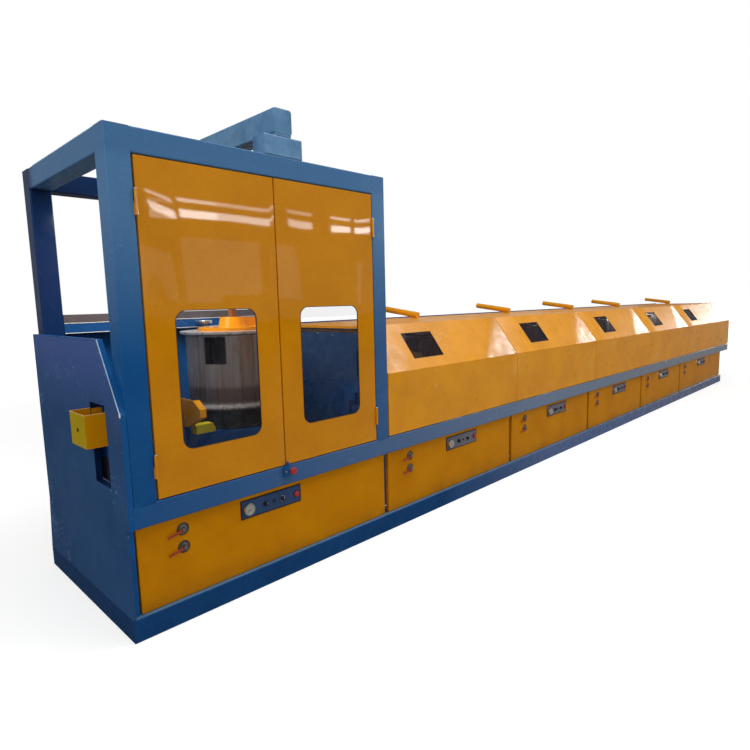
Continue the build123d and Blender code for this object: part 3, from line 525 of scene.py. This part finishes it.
def settle(piece, material, body, slot, smooth=35):
    """Ends a piece: object mode, shading by angle, its material, the body it rides on and its slot."""
    bpy.ops.object.mode_set(mode="OBJECT")
    bpy.ops.object.shade_smooth_by_angle(angle=radians(smooth))
    piece.data.materials.clear()
    piece.data.materials.append(material)
    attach(piece, body)
    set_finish(piece, slot)
    return piece


def repeat(piece, name, shift):
    """A copy of a settled piece with its own mesh, moved into its place."""
    again = piece.copy()
    again.data = piece.data.copy()
    again.name = again.data.name = name
    bpy.context.scene.collection.objects.link(again)
    again.data.transform(Matrix.Translation(shift))
    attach(again, piece["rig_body"])
    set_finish(again, piece["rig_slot"])
    return again


def on_other_plates(*pieces):
    """Repeats pieces of the first control plate, whose names end in 1, on the other five."""
    for i, left in enumerate(PLATE_LEFTS[1:], 2):
        for piece in pieces:
            repeat(piece, piece.name[:-1] + str(i), Vector((left - PLATE_LEFTS[0], 0, 0)))


def over_places(pieces, places):
    """Repeats pieces, whose names end in 1_1, from the first of places to all the others.
    places maps (i, j) to the (x, z) of each piece, in the order of pieces."""
    for (i, j), spots in places.items():
        for piece, (x, z), (first_x, first_z) in zip(pieces, spots, places[1, 1]):
            if (i, j) != (1, 1):
                repeat(piece, piece.name[:-3] + "%d_%d" % (i, j), Vector((x - first_x, 0, z - first_z)))


def grid(xs, zs, count=1):
    """Places for over_places where the same pieces stand at every x and z."""
    return {(i, j): [(x, z)] * count for i, x in enumerate(xs, 1) for j, z in enumerate(zs, 1)}


def screw_head(name, place, out, radius, height, body, slot="steel"):
    """A round screw head on a washer, standing on place and facing out. The washer is wider than the
    head by 0.35 of its radius, and a quarter of the height."""
    turn = out.to_track_quat("Z", "Y").to_euler()
    screw = begin(name, CYLINDER, vertices=24, radius=radius * 1.35, depth=height * 0.25,
                  location=place + out * height * 0.125, rotation=turn)
    pick(screw, lambda at, normal: normal.dot(out) > 0.9)
    step(radius * 0.35, out * height * 0.75)
    soften(screw, lambda at, line: abs(line.dot(out)) < 0.5 and (at - place).dot(out) > height * 0.9,
           height * 0.16)
    return settle(screw, plated_screws, body, slot)


def ring(name, centre, radius, wall, height, material, slot):
    """A flat ring that stands on a front face round a knob, a button or a hole."""
    made = disc(name, centre + FRONTWARD * (height / 2), radius, height, 36)
    pick(made, lambda at, normal: abs(normal.y) > 0.9)
    pierce(wall)
    soften(made, front_rim(centre.y - height * 0.9), wall * 0.25)
    return settle(made, material, "frame", slot)


def on_plate(column):
    """A point on the first control plate's face, by the distance from its left edge."""
    return Vector((PLATE_LEFTS[0] + column, PLATE_FACE, PLATE_MIDDLE))


# What stands on a control plate, by the distance from its left edge
GAUGE_COLUMN, KNOB_COLUMN, LAMP_COLUMN = 0.038, 0.146, 0.203
SELECTOR_COLUMN, BUTTON_COLUMN = 0.258, 0.355

# Pressure gauges: a chromed case, and in it a dial with its scale, needle and numbers
CASE_R, CASE_DEPTH = 0.0335, 0.0180
DIAL_R = 0.0275
SCALE_START, SCALE_STEP, SCALE_STEPS = -135, 27, 10
MARK_REACH, NUMBER_REACH = DIAL_R * 0.78, DIAL_R * 0.52
gauge_at = on_plate(GAUGE_COLUMN)
gauge_case = disc("gauge_case_1", gauge_at + FRONTWARD * (CASE_DEPTH / 2), CASE_R, CASE_DEPTH, 48)
pick(gauge_case, faces_front)
step(0.0050, BACKWARD * 0.0014)
soften(gauge_case, front_rim(PLATE_FACE - CASE_DEPTH + 0.0005), 0.0010)
settle(gauge_case, bezel_chrome, "frame", "gauge_steel")
dial_at = gauge_at + FRONTWARD * 0.0166
dial = disc("gauge_dial_1", dial_at + FRONTWARD * 0.0002, DIAL_R, 0.0012, 48)
pick(dial, faces_front)
step(0.0012, BACKWARD * 0.0004)
settle(dial, dial_card, "frame", "gauge_steel")

scale_marks = sized("gauge_scale_1", CUBE, dial_at + Vector((0, -0.0005, MARK_REACH)),
                    (0.0014, 0.0004, 0.0046))
bpy.ops.transform.rotate(value=radians(SCALE_START), orient_axis="Y", center_override=dial_at)
for _ in range(SCALE_STEPS):
    bpy.ops.mesh.duplicate_move()
    bpy.ops.transform.rotate(value=radians(SCALE_STEP), orient_axis="Y", center_override=dial_at)
settle(scale_marks, dark_paint, "frame", "knob_black")

needle = disc("gauge_needle_1", dial_at + FRONTWARD * 0.0010, 0.0036, 0.0016, 16)
pick(needle, lambda at, normal: normal.x < -0.7 and abs(normal.y) < 0.1 and normal.z < 0)
push(Vector((-0.0145, 0, -0.0100)))
bpy.ops.transform.resize(value=(0.4, 1, 0.4))
settle(needle, dark_paint, "frame", "knob_black")

numerals = []
for number in range(0, SCALE_STEPS + 1, 2):
    bpy.ops.object.select_all(action="DESELECT")
    bpy.ops.object.text_add(location=(0, 0, 0))
    numeral = bpy.context.object
    numeral.data.body = str(number)
    numeral.data.size = 0.0085
    numeral.data.align_x, numeral.data.align_y = "CENTER", "CENTER"
    numeral.data.extrude = 0.00015
    bpy.ops.object.convert(target="MESH")
    turn = radians(SCALE_START + SCALE_STEP * number)
    spot = dial_at + Vector((sin(turn), 0, cos(turn))) * NUMBER_REACH + FRONTWARD * 0.0004
    numeral = bpy.context.object
    numeral.data.transform(Matrix.Translation(spot) @ Matrix.Rotation(pi / 2, 4, "X"))
    numerals.append(numeral)
bpy.ops.object.select_all(action="DESELECT")
for numeral in numerals:
    numeral.select_set(True)
bpy.context.view_layer.objects.active = numerals[0]
bpy.ops.object.join()
gauge_numbers = bpy.context.object
gauge_numbers.name = gauge_numbers.data.name = "gauge_numbers_1"
settle(gauge_numbers, dark_paint, "frame", "knob_black")

# Knobs: a raised grip with a painted line, and a skirt on the plate
knob_at = on_plate(KNOB_COLUMN)
grip_at = knob_at + FRONTWARD * 0.014
grip = sized("knob_grip_1", CUBE, grip_at + FRONTWARD * 0.003, (0.0055, 0.0065, 0.0175))
soften(grip, lambda at, line: at.y < grip_at.y - 0.001 or abs(line.y) > 0.9, 0.0012, 3)
settle(grip, black_knob, "frame", "knob_black")
line_mark = sized("knob_line_1", CUBE, grip_at + Vector((0, -0.0063, 0.004)),
                  (0.0014, 0.0006, 0.0080))
soften(line_mark, lambda at, line: at.y < grip_at.y - 0.0064, 0.0002, 1)
settle(line_mark, white_paint_and_highlights, "frame", "knob_black")
knob_skirt = disc("knob_skirt_1", knob_at + FRONTWARD * 0.0025, 0.0150, 0.0050, 36)
soften(knob_skirt, front_rim(PLATE_FACE - 0.0045), 0.0015)
settle(knob_skirt, black_knob, "frame", "knob_black")

# Pilot lamp, ring of the selector switch, and the start button in its collar
lamp = disc("pilot_lamp_1", on_plate(LAMP_COLUMN) + FRONTWARD * 0.003, 0.0075, 0.006)
pick(lamp, faces_front)
step(0.0015, FRONTWARD * 0.004)
bpy.ops.transform.resize(value=(0.7, 1, 0.7))
settle(lamp, black_knob, "frame", "knob_black")
selector_ring = ring("selector_ring_1", on_plate(SELECTOR_COLUMN), 0.0165, 0.0035, 0.004,
                     bezel_chrome, "gauge_steel")
button_at = on_plate(BUTTON_COLUMN)
button_collar = ring("button_collar_1", button_at, 0.0185, 0.0028, 0.004, maroon_rubber_and_painted_shadow,
                     "gauge_steel")
button_cap = disc("start_button_1", button_at + FRONTWARD * 0.007, 0.0158, 0.008, 32)
soften(button_cap, front_rim(PLATE_FACE - 0.010), 0.002, 3)
settle(button_cap, red_button, "frame", "button_red")

on_other_plates(gauge_case, dial, scale_marks, needle, gauge_numbers, grip, line_mark, knob_skirt,
                lamp, selector_ring, button_collar, button_cap)
knob_to_selector = Vector((SELECTOR_COLUMN - KNOB_COLUMN, 0, 0))
on_other_plates(repeat(grip, "selector_grip_1", knob_to_selector),
                repeat(line_mark, "selector_line_1", knob_to_selector))

# Ball valves: the nut that holds each lever
lever_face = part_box("valve_levers")[0].y
valve_nut = screw_head("lever_nut_1_1", Vector((VALVE_XS[0], lever_face, VALVE_ZS[0])), FRONTWARD,
                       0.0075, 0.007, "frame", "valve_steel")
over_places((valve_nut,), grid(VALVE_XS, VALVE_ZS))

# In each valve hole: the round body of the valve with its packing nut, and rubber edging round it
valve_at = Vector((VALVE_XS[0], PANEL_FACE, VALVE_ZS[0]))
valve_body = disc("valve_body_1_1", valve_at + BACKWARD * 0.0035, 0.0292, 0.0040, 40)
pick(valve_body, faces_front)
step(0.0060, BACKWARD * 0.0015)
step(0.0030, FRONTWARD * 0.0050)
soften(valve_body, front_rim(PANEL_FACE - 0.001), 0.0012)
settle(valve_body, dull_nickel, "frame", "valve_steel")
edging = ring("valve_hole_edging_1_1", valve_at, 0.0318, 0.0030, 0.0012, maroon_rubber_and_painted_shadow,
              "knob_black")
over_places((valve_body, edging), grid(VALVE_XS, VALVE_ZS, 2))

# Control plates: a dark frame all round each plate, a painted shadow line where the plate sits recessed
plate_shadow_at = Vector((PLATE_LEFTS[0] + PLATE_WIDTH / 2, PANEL_FACE - 0.0004, PLATE_MIDDLE))
plate_shadow_frame = sized("plate_gasket_1", PLANE, plate_shadow_at, (PLATE_WIDTH + 0.016, 1, PLATE_HEIGHT + 0.014),
               FACING_FRONT)
hollow(0.0100, FRONTWARD * 0.0016)
settle(plate_shadow_frame, maroon_rubber_and_painted_shadow, "frame", "knob_black")
on_other_plates(plate_shadow_frame)

# Door windows: a rubber seal that lines each rounded opening
SEAL_WALL, SEAL_PROUD = 0.0035, 0.0008
WINDOW_WIDTH, WINDOW_HEIGHT, WINDOW_BOTTOM, WINDOW_CORNER = 0.442, 0.664, 0.853, 0.055
for door, x in (("left_door", 0.477), ("right_door", 1.203)):
    middle = Vector((x, FRONT - SEAL_PROUD, WINDOW_BOTTOM + WINDOW_HEIGHT / 2))
    seal = sized(door + "_window_seal", PLANE, middle, (WINDOW_WIDTH, 1, WINDOW_HEIGHT),
                 FACING_FRONT)
    bpy.ops.mesh.bevel(offset=WINDOW_CORNER, segments=10, affect="VERTICES")
    hollow(SEAL_WALL, BACKWARD * 0.0052)
    settle(seal, black_rubber, door, "knob_black")

# Hood windows: the same rubber along the four edges of each slanted opening
HOOD_WINDOW_LEFT, HOOD_WINDOW_WIDTH, HOOD_WINDOW_LOW, HOOD_WINDOW_HIGH = 0.328, 0.335, 0.085, 0.302
LEANING = SLOPE_OUT.to_track_quat("Z", "Y").to_matrix().to_4x4()
for i, left in enumerate(HOOD_LEFTS, 1):
    foot = Vector((left + HOOD_WINDOW_LEFT + HOOD_WINDOW_WIDTH / 2, FRONT, HOOD_FOLD_Z))
    middle = foot + SLOPE * (HOOD_WINDOW_LOW + HOOD_WINDOW_HIGH) / 2 + SLOPE_OUT * SEAL_PROUD
    stretch = Matrix.Diagonal((HOOD_WINDOW_WIDTH, HOOD_WINDOW_HIGH - HOOD_WINDOW_LOW, 1, 1))
    seal = begin("hood_%d_window_seal" % i, PLANE, size=1.0, location=(0, 0, 0))
    seal.data.transform(Matrix.Translation(middle) @ LEANING @ stretch)
    bpy.ops.object.mode_set(mode="EDIT")
    hollow(SEAL_WALL, SLOPE_OUT * -0.0048)
    settle(seal, black_rubber, "hood_%d" % i, "knob_black")

# Door hinges: a domed head on each pin
pin_top = HINGE_ZS[0] + HINGE_HEIGHT
pin_head = begin("hinge_pin_head_1", CYLINDER, vertices=24, radius=0.0078, depth=0.004,
                 location=(HINGE_XS[0], FRONT - 0.007, pin_top + 0.002))
soften(pin_head, lambda at, line: at.z > pin_top + 0.0035 and abs(line.z) < 0.5, 0.003, 4)
settle(pin_head, plated_screws, "frame", "steel")
for count, (x, z) in enumerate([(x, z) for x in HINGE_XS for z in HINGE_ZS][1:], 2):
    repeat(pin_head, "hinge_pin_head_%d" % count, Vector((x - HINGE_XS[0], 0, z - HINGE_ZS[0])))

# Latch and stop button: the latch's screw, and the grey collar under the red mushroom
screw_head("latch_screw", Vector((0.830, FRONT - 0.014, 0.612)), FRONTWARD, 0.006, 0.005,
           "right_door")
ring("stop_button_collar", Vector((0.878, FRONT, 0.608)), 0.0170, 0.0045, 0.009, bezel_chrome,
     "gauge_steel")

# Clips that hold the lower panels, in the gaps between them
CLIP_ZS = (0.505, 0.150)
panel_clip = sized("panel_clip_1_1", CUBE, (PANEL_JOINTS[0], FRONT + 0.0485, CLIP_ZS[0]),
                   (0.016, 0.003, 0.030))
pick(panel_clip, lambda at, normal: normal.z > 0.9)
push(Vector((0, -0.009, 0.004)))
push(Vector((0, -0.004, -0.006)))
soften(panel_clip, runs_along_x, 0.0008)
settle(panel_clip, plated_screws, "frame", "steel")
over_places((panel_clip,), grid(PANEL_JOINTS, CLIP_ZS))

# Ground welds that close the corners of the tall frame, over the rounded edges of its tubes
TUBE, TUBE_EDGE = 0.110, 0.008
TALL_END, TOP_BEAM_Z, RAIL_TOP = 1.680, 2.245, 0.644
WELD_RUN, WELD_WIDTH, WELD_THICK = TUBE - 2 * TUBE_EDGE + 0.0006, TUBE_EDGE + 0.0016, 0.0004
FRAME_WELDS = []
for x in (TUBE - TUBE_EDGE / 2, TALL_END - TUBE + TUBE_EDGE / 2):
    for y in (FRONT, -FRONT):
        FRAME_WELDS.append(((x, y, TOP_BEAM_Z), (WELD_WIDTH, WELD_THICK, WELD_RUN)))
for x in (0.0, TALL_END):
    for y in (FRONT + TUBE - TUBE_EDGE / 2, -FRONT - TUBE + TUBE_EDGE / 2):
        FRAME_WELDS.append(((x, y, TOP_BEAM_Z), (WELD_THICK, WELD_WIDTH, WELD_RUN)))
for x in (TUBE / 2, TALL_END - TUBE / 2):
    for y in (FRONT, -FRONT):
        FRAME_WELDS.append(((x, y, RAIL_TOP - TUBE_EDGE / 2), (WELD_RUN, WELD_THICK, WELD_WIDTH)))


def strip(name, middle, size, bevel, material):
    """A straight strip on the frame with softened long edges, from its middle and its size."""
    made = sized(name, CUBE, middle, size)
    long_way = Vector([value == max(size) for value in size])
    soften(made, lambda at, line: abs(line.dot(long_way)) > 0.9, bevel)
    return settle(made, material, "frame", "frame_blue")


def bar(name, start, end, thick, material, slot):
    """A straight square bar on the frame with softened edges, from one point to another."""
    start, end = Vector(start), Vector(end)
    run = end - start
    made = begin(name, CUBE, size=1.0, location=(start + end) / 2, scale=(thick, thick, run.length),
                 rotation=run.to_track_quat("Z", "Y").to_euler())
    soften(made, lambda at, line: abs(line.dot(run.normalized())) > 0.9, thick * 0.25)
    return settle(made, material, "frame", slot)


for i, (middle, size) in enumerate(FRAME_WELDS, 1):
    strip("frame_weld_%d" % i, middle, size, 0.00015, blue_frame)

# Painted highlights along the edges of the rear rail
for i, z in enumerate((1.4505, 1.3925), 1):
    strip("rear_rail_edging_%d" % i, (0.840, 0.4895, z), (1.458, 0.003, 0.004), 0.0008, white_paint_and_highlights)

# Painted highlights along edges (end sheet, top beam, rim of the wire entry bracket), and the
# rubber seal between the partition and the first hood
SHEET_X, BEAM_X, BEAM_Z, SEAL_X, SEAL_Z = -0.0262, 0.0020, 2.298, 1.6710, 1.349
RIM_LEFT, RIM_RIGHT, RIM_FRONT, RIM_BACK, RIM_Z = -0.118, -0.028, -0.4320, -0.2380, 1.0605
EDGE_LINES = (
    ("end_sheet_slope_edge", (SHEET_X, -0.3985, 1.392), (SHEET_X, -0.5985, 1.069), 0.004,
     painted_edge_highlight, "frame_blue"),
    ("end_sheet_top_edge", (-0.0265, -0.400, 1.3925), (-0.0265, 0.300, 1.3925), 0.003,
     painted_edge_highlight, "frame_blue"),
    ("end_sheet_corner_spot", (SHEET_X, -0.5975, 1.078), (SHEET_X, -0.5975, 1.058), 0.006,
     white_paint_and_highlights, "frame_blue"),
    ("top_beam_left_edge", (BEAM_X, -0.597, BEAM_Z), (BEAM_X, 0.400, BEAM_Z), 0.0036,
     painted_edge_highlight, "frame_blue"),
    ("partition_seal", (SEAL_X, -0.330, SEAL_Z), (SEAL_X, 0.480, SEAL_Z), 0.014,
     black_rubber, "frame_blue"),
    ("bracket_front_rim", (RIM_LEFT, RIM_FRONT, RIM_Z), (RIM_RIGHT, RIM_FRONT, RIM_Z), 0.0030,
     painted_orange_edge_highlight, "panel_orange"),
    ("bracket_back_rim", (RIM_LEFT, RIM_BACK, RIM_Z), (RIM_RIGHT, RIM_BACK, RIM_Z), 0.0030,
     painted_orange_edge_highlight, "panel_orange"),
    ("bracket_end_rim", (-0.1170, -0.433, RIM_Z), (-0.1170, -0.237, RIM_Z), 0.0030,
     painted_orange_edge_highlight, "panel_orange"))
for edge_line in EDGE_LINES:
    bar(*edge_line)

# Wire entry: a bush in the guide hole, a liner round the slot painted dark as the shade in it, a rubber
# flap behind its foot whose black also stands for the shade deep in the slot, the holder of the flap,
# and the bracket's inner sheet
GUIDE_Z = 0.9835
bush = begin("wire_guide_bush", CYLINDER, vertices=28, radius=0.0085, depth=0.003,
             location=(-0.1190, -0.3350, GUIDE_Z), rotation=FACING_LEFT)
pick(bush, lambda at, normal: abs(normal.x) > 0.9)
pierce(0.0035)
settle(bush, black_rubber, "frame", "knob_black")
liner = sized("wire_slot_liner", PLANE, (-0.0284, -0.335, 0.896), (1, 0.187, 0.393), FACING_LEFT)
hollow(0.0016, Vector((0.0290, 0, 0)))
settle(liner, dark_inside, "frame", "frame_blue")
flap = sized("wire_slot_flap", CUBE, (0.026, -0.220, 0.750), (0.004, 0.170, 0.120))
pick(flap, lambda at, line: at.z > 0.80 and at.y > -0.20 and runs_along_x(at, line), "EDGE")
bpy.ops.transform.translate(value=(0, 0, -0.020))
soften(flap, runs_along_x, 0.004, 3)
settle(flap, black_rubber, "frame", "knob_black")
flap_holder = sized("wire_slot_flap_holder", CUBE, (0.032, -0.220, 0.950), (0.003, 0.180, 0.300))
pick(flap_holder, lambda at, normal: normal.z < -0.9)
push(Vector((0, 0, -0.012)))
soften(flap_holder, runs_along_x, 0.006, 3)
settle(flap_holder, blue_sheet, "frame", "frame_blue")
guide_sheet = sized("wire_guide_inner_sheet", CUBE, (0.000, -0.2440, GUIDE_Z),
                    (0.050, 0.002, 0.151))
soften(guide_sheet, lambda at, line: abs(line.y) > 0.9 and at.x > 0.02, 0.008, 3)
settle(guide_sheet, orange_brackets, "frame", "panel_orange")

# The end sheet leans out to the end of the base, which it covers without a step
skirt = sized("end_sheet_skirt", CUBE, (-0.0341, 0, 0.2640), (0.0118, 1.200, 0.3000))
pick(skirt, lambda at, line: at.x < -0.039 and at.z > 0.413 and abs(line.y) > 0.9, "EDGE")
bpy.ops.transform.translate(value=(0.0116, 0, 0))
settle(skirt, blue_sheet, "frame", "frame_blue", smooth=5)

# Packers welded between the lifting beam and its two blocks
for i, way in enumerate((-1, 1), 1):
    strip("gantry_packer_%d" % i, (DRUM_X, way * 0.5490, 2.4125), (0.1000, 0.1000, 0.0170), 0.002,
          blue_gantry)

# Partition: the two screws that show through the right window
for i, (y, z) in enumerate(((0.050, 1.317), (-0.112, 1.306)), 1):
    screw_head("partition_screw_%d" % i, Vector((1.640, y, z)), Vector((-1, 0, 0)), 0.007, 0.006,
               "frame")


def corners(left, right_end, inset, low, high):
    """The (x, z) of the screws in the four corners of a panel."""
    return [(x, z) for z in (low, high) for x in (left + inset, right_end - inset)]


# Back: screws in the corners of the rear panels and of the lower back panels
REAR_BAYS = ((0.110, 1.570, 1.345), (1.680, 3.285, 1.190), (3.345, 4.920, 1.190),
             (4.980, 6.555, 1.190), (6.615, 8.190, 1.190), (8.250, 10.586, 1.190))
LOWER_BAYS = zip((0.060,) + PANEL_JOINTS, PANEL_JOINTS + (10.220,))
rear_corners = [corners(left, right_end, 0.040, 0.700, head) for left, right_end, head in REAR_BAYS]
lower_corners = [corners(left, right_end, 0.050, 0.165, 0.485) for left, right_end in LOWER_BAYS]
back_screws = [screw_head(name, Vector((x, y, z)), BACKWARD, 0.0075, 0.006, "frame")
               for name, y, (x, z) in (("rear_panel_screw_1_1", 0.5958, rear_corners[0][0]),
                                       ("lower_back_screw_1_1", 0.5748, lower_corners[0][0]))]
over_places(back_screws, {(i + 1, j + 1): (rear_corners[i][j], lower_corners[i][j])
                          for i in range(6) for j in range(4)})

# Camera, from the vanishing points of the long rails and the height of the tall frame
CAMERA_AT = Vector((-0.9357, -3.0595, 1.5348))
YAW, PITCH, ROLL = radians(44.554), radians(7.521), radians(-1.325)
FOCAL_PIXELS, PICTURE = 554.8, 750
ahead = Vector((cos(YAW) * cos(PITCH), sin(YAW) * cos(PITCH), -sin(PITCH)))
level = Vector((sin(YAW), -cos(YAW), 0))
upward = level.cross(ahead)
right = level * cos(ROLL) + upward * sin(ROLL)
up = upward * cos(ROLL) - level * sin(ROLL)
camera_data = bpy.data.cameras.new("photo_camera")
camera_data.sensor_width = 36.0
camera_data.lens = FOCAL_PIXELS / PICTURE * camera_data.sensor_width
camera_data.clip_end = 200.0
camera = bpy.data.objects.new("photo_camera", camera_data)
bpy.context.scene.collection.objects.link(camera)
camera.matrix_world = Matrix.Translation(CAMERA_AT) @ Matrix((right, up, -ahead)).transposed().to_4x4()
bpy.context.scene.camera = camera


def panel_light(name, place, target, size, power):
    """A soft rectangular white studio light that faces a point."""
    lamp_data = bpy.data.lights.new(name, "AREA")
    lamp_data.shape = "RECTANGLE"
    lamp_data.size, lamp_data.size_y = size
    lamp_data.energy = power
    light = bpy.data.objects.new(name, lamp_data)
    bpy.context.scene.collection.objects.link(light)
    light.location = place
    light.rotation_euler = (Vector(target) - Vector(place)).to_track_quat("-Z", "Y").to_euler()
    light.visible_camera = False


panel_light("overhead_soft_light", (3.5, -2.5, 7.0), (4.5, 0, 0), (12, 5), 470)
panel_light("left_high_soft_light", (-7.0, -1.5, 6.5), (0.0, 0, 2.0), (4, 4), 320)
panel_light("door_side_soft_light", (-4.0, -9.0, 4.0), (2.0, 0, 1.0), (6, 4), 150)
panel_light("far_side_soft_light", (13.5, -8.0, 4.2), (8.5, 0, 0.8), (4, 2.5), 150)
panel_light("far_end_soft_light", (22.0, 12.0, 2.6), (6.0, 0, 1.3), (14, 3.0), 60)
panel_light("under_hoods_soft_light", (5.9, 0.34, 1.20), (5.9, -0.35, 0.95), (8.2, 0.05), 20)
panel_light("tall_bay_soft_light", (0.50, -0.18, 2.15), (0.85, 0.0, 1.1), (0.7, 0.3), 12)
# Skylights beyond the far end: the rolled ends of the hoods catch them, the flat slopes don't
panel_light("high_skylight", (21.7, -10.5, 23.4), (3.3, -0.5, 1.2), (6, 5), 700)
panel_light("low_skylight", (42.0, -3.0, 5.6), (5.0, -0.5, 1.2), (6.5, 5.0), 1300)

# Rows of factory tubes and a pale wall, far out in front of the doors: what the gloss on them mirrors
FAR = -12.0
# Each row is (left, right, share of full power, drop), and has two lines of (height, width, power)
TUBE_ROWS = ((5.30, 5.92, 1.0, 0.08), (6.06, 7.2, 1.0, 0), (7.2, 9.0, 0.6, 0), (9.6, 10.47, 0.5, 0),
             (11.26, 12.1, 0.9, 0), (12.3, 13.2, 1.0, 0))
TUBE_LINES = ((4.25, 0.09, 20), (3.92, 0.20, 34))
for i, (left, right_end, share, drop) in enumerate(TUBE_ROWS):
    wide, middle_x = right_end - left, (left + right_end) / 2
    for j, (z, tall, watts) in enumerate(TUBE_LINES):
        panel_light("far_tube_row_%d_%d" % (i, j), (middle_x, FAR, z - drop), (middle_x, 0, z),
                    (wide, tall), share * watts * wide * tall)
# Each patch of wall is (left, right, low, high), and is four lights of growing size with a soft edge
WALL_PATCHES = ((6.1, 7.1, 1.7, 3.2), (7.3, 8.4, 1.9, 3.2), (9.1, 9.6, 1.7, 3.1),
                (12.5, 13.0, 1.6, 2.8), (4.9, 5.3, 1.7, 2.7))
WALL_GROWTH, WALL_WATTS = (-0.20, -0.05, 0.06, 0.20), 1.25
for i, (left, right_end, low, high) in enumerate(WALL_PATCHES):
    middle_x, middle_z = (left + right_end) / 2, (low + high) / 2
    for j, grow in enumerate(WALL_GROWTH):
        wide, tall = right_end - left + grow, high - low + grow
        panel_light("far_pale_wall_%d_%d" % (i, j), (middle_x, FAR, middle_z),
                    (middle_x, 0, middle_z), (wide, tall), WALL_WATTS * wide * tall)

world = bpy.data.worlds.new("white_studio")
world.use_nodes = True
bpy.context.scene.world = world
sky_tree = world.node_tree
seen = add(sky_tree, "ShaderNodeLightPath", {}).outputs["Is Camera Ray"]
feed(sky_tree, sky_tree.nodes["Background"], {
    "Color": (1, 1, 1, 1), "Strength": mapped(sky_tree, seen, (0.0, 1.0), (0.22, 1.0))})
bpy.context.scene.view_settings.view_transform = "Standard"

# Plain pale floor of sealed concrete, which glows in the camera's sight and is darker in reflections
FLOOR_CENTRE = (5, 0, 0)
floor = begin("studio_floor", PLANE, size=90.0, location=FLOOR_CENTRE)
floor_finish, floor_tree, floor_shader, floor_place = blank("pale_sealed_concrete", 0.6)
pale = blend(floor_tree, noise(floor_tree, floor_place, 0.8, 4.0), "#b9b9b8", "#b2b2b1")
floor_rays = add(floor_tree, "ShaderNodeLightPath", {}).outputs
away = add(floor_tree, "ShaderNodeVectorMath", {0: floor_place, 1: FLOOR_CENTRE},
           operation="DISTANCE").outputs["Value"]
glow = mapped(floor_tree, away, (5.0, 14.0), (0.62, 1.0))
feed(floor_tree, floor_shader, {
    "Base Color": blend(floor_tree, floor_rays["Is Glossy Ray"], pale, "#5a5a5a"),
    "Emission Color": (1, 1, 1, 1),
    "Emission Strength": mapped(floor_tree, floor_rays["Is Camera Ray"], (0.0, 1.0), (0.0, glow))})
floor.data.materials.append(floor_finish)
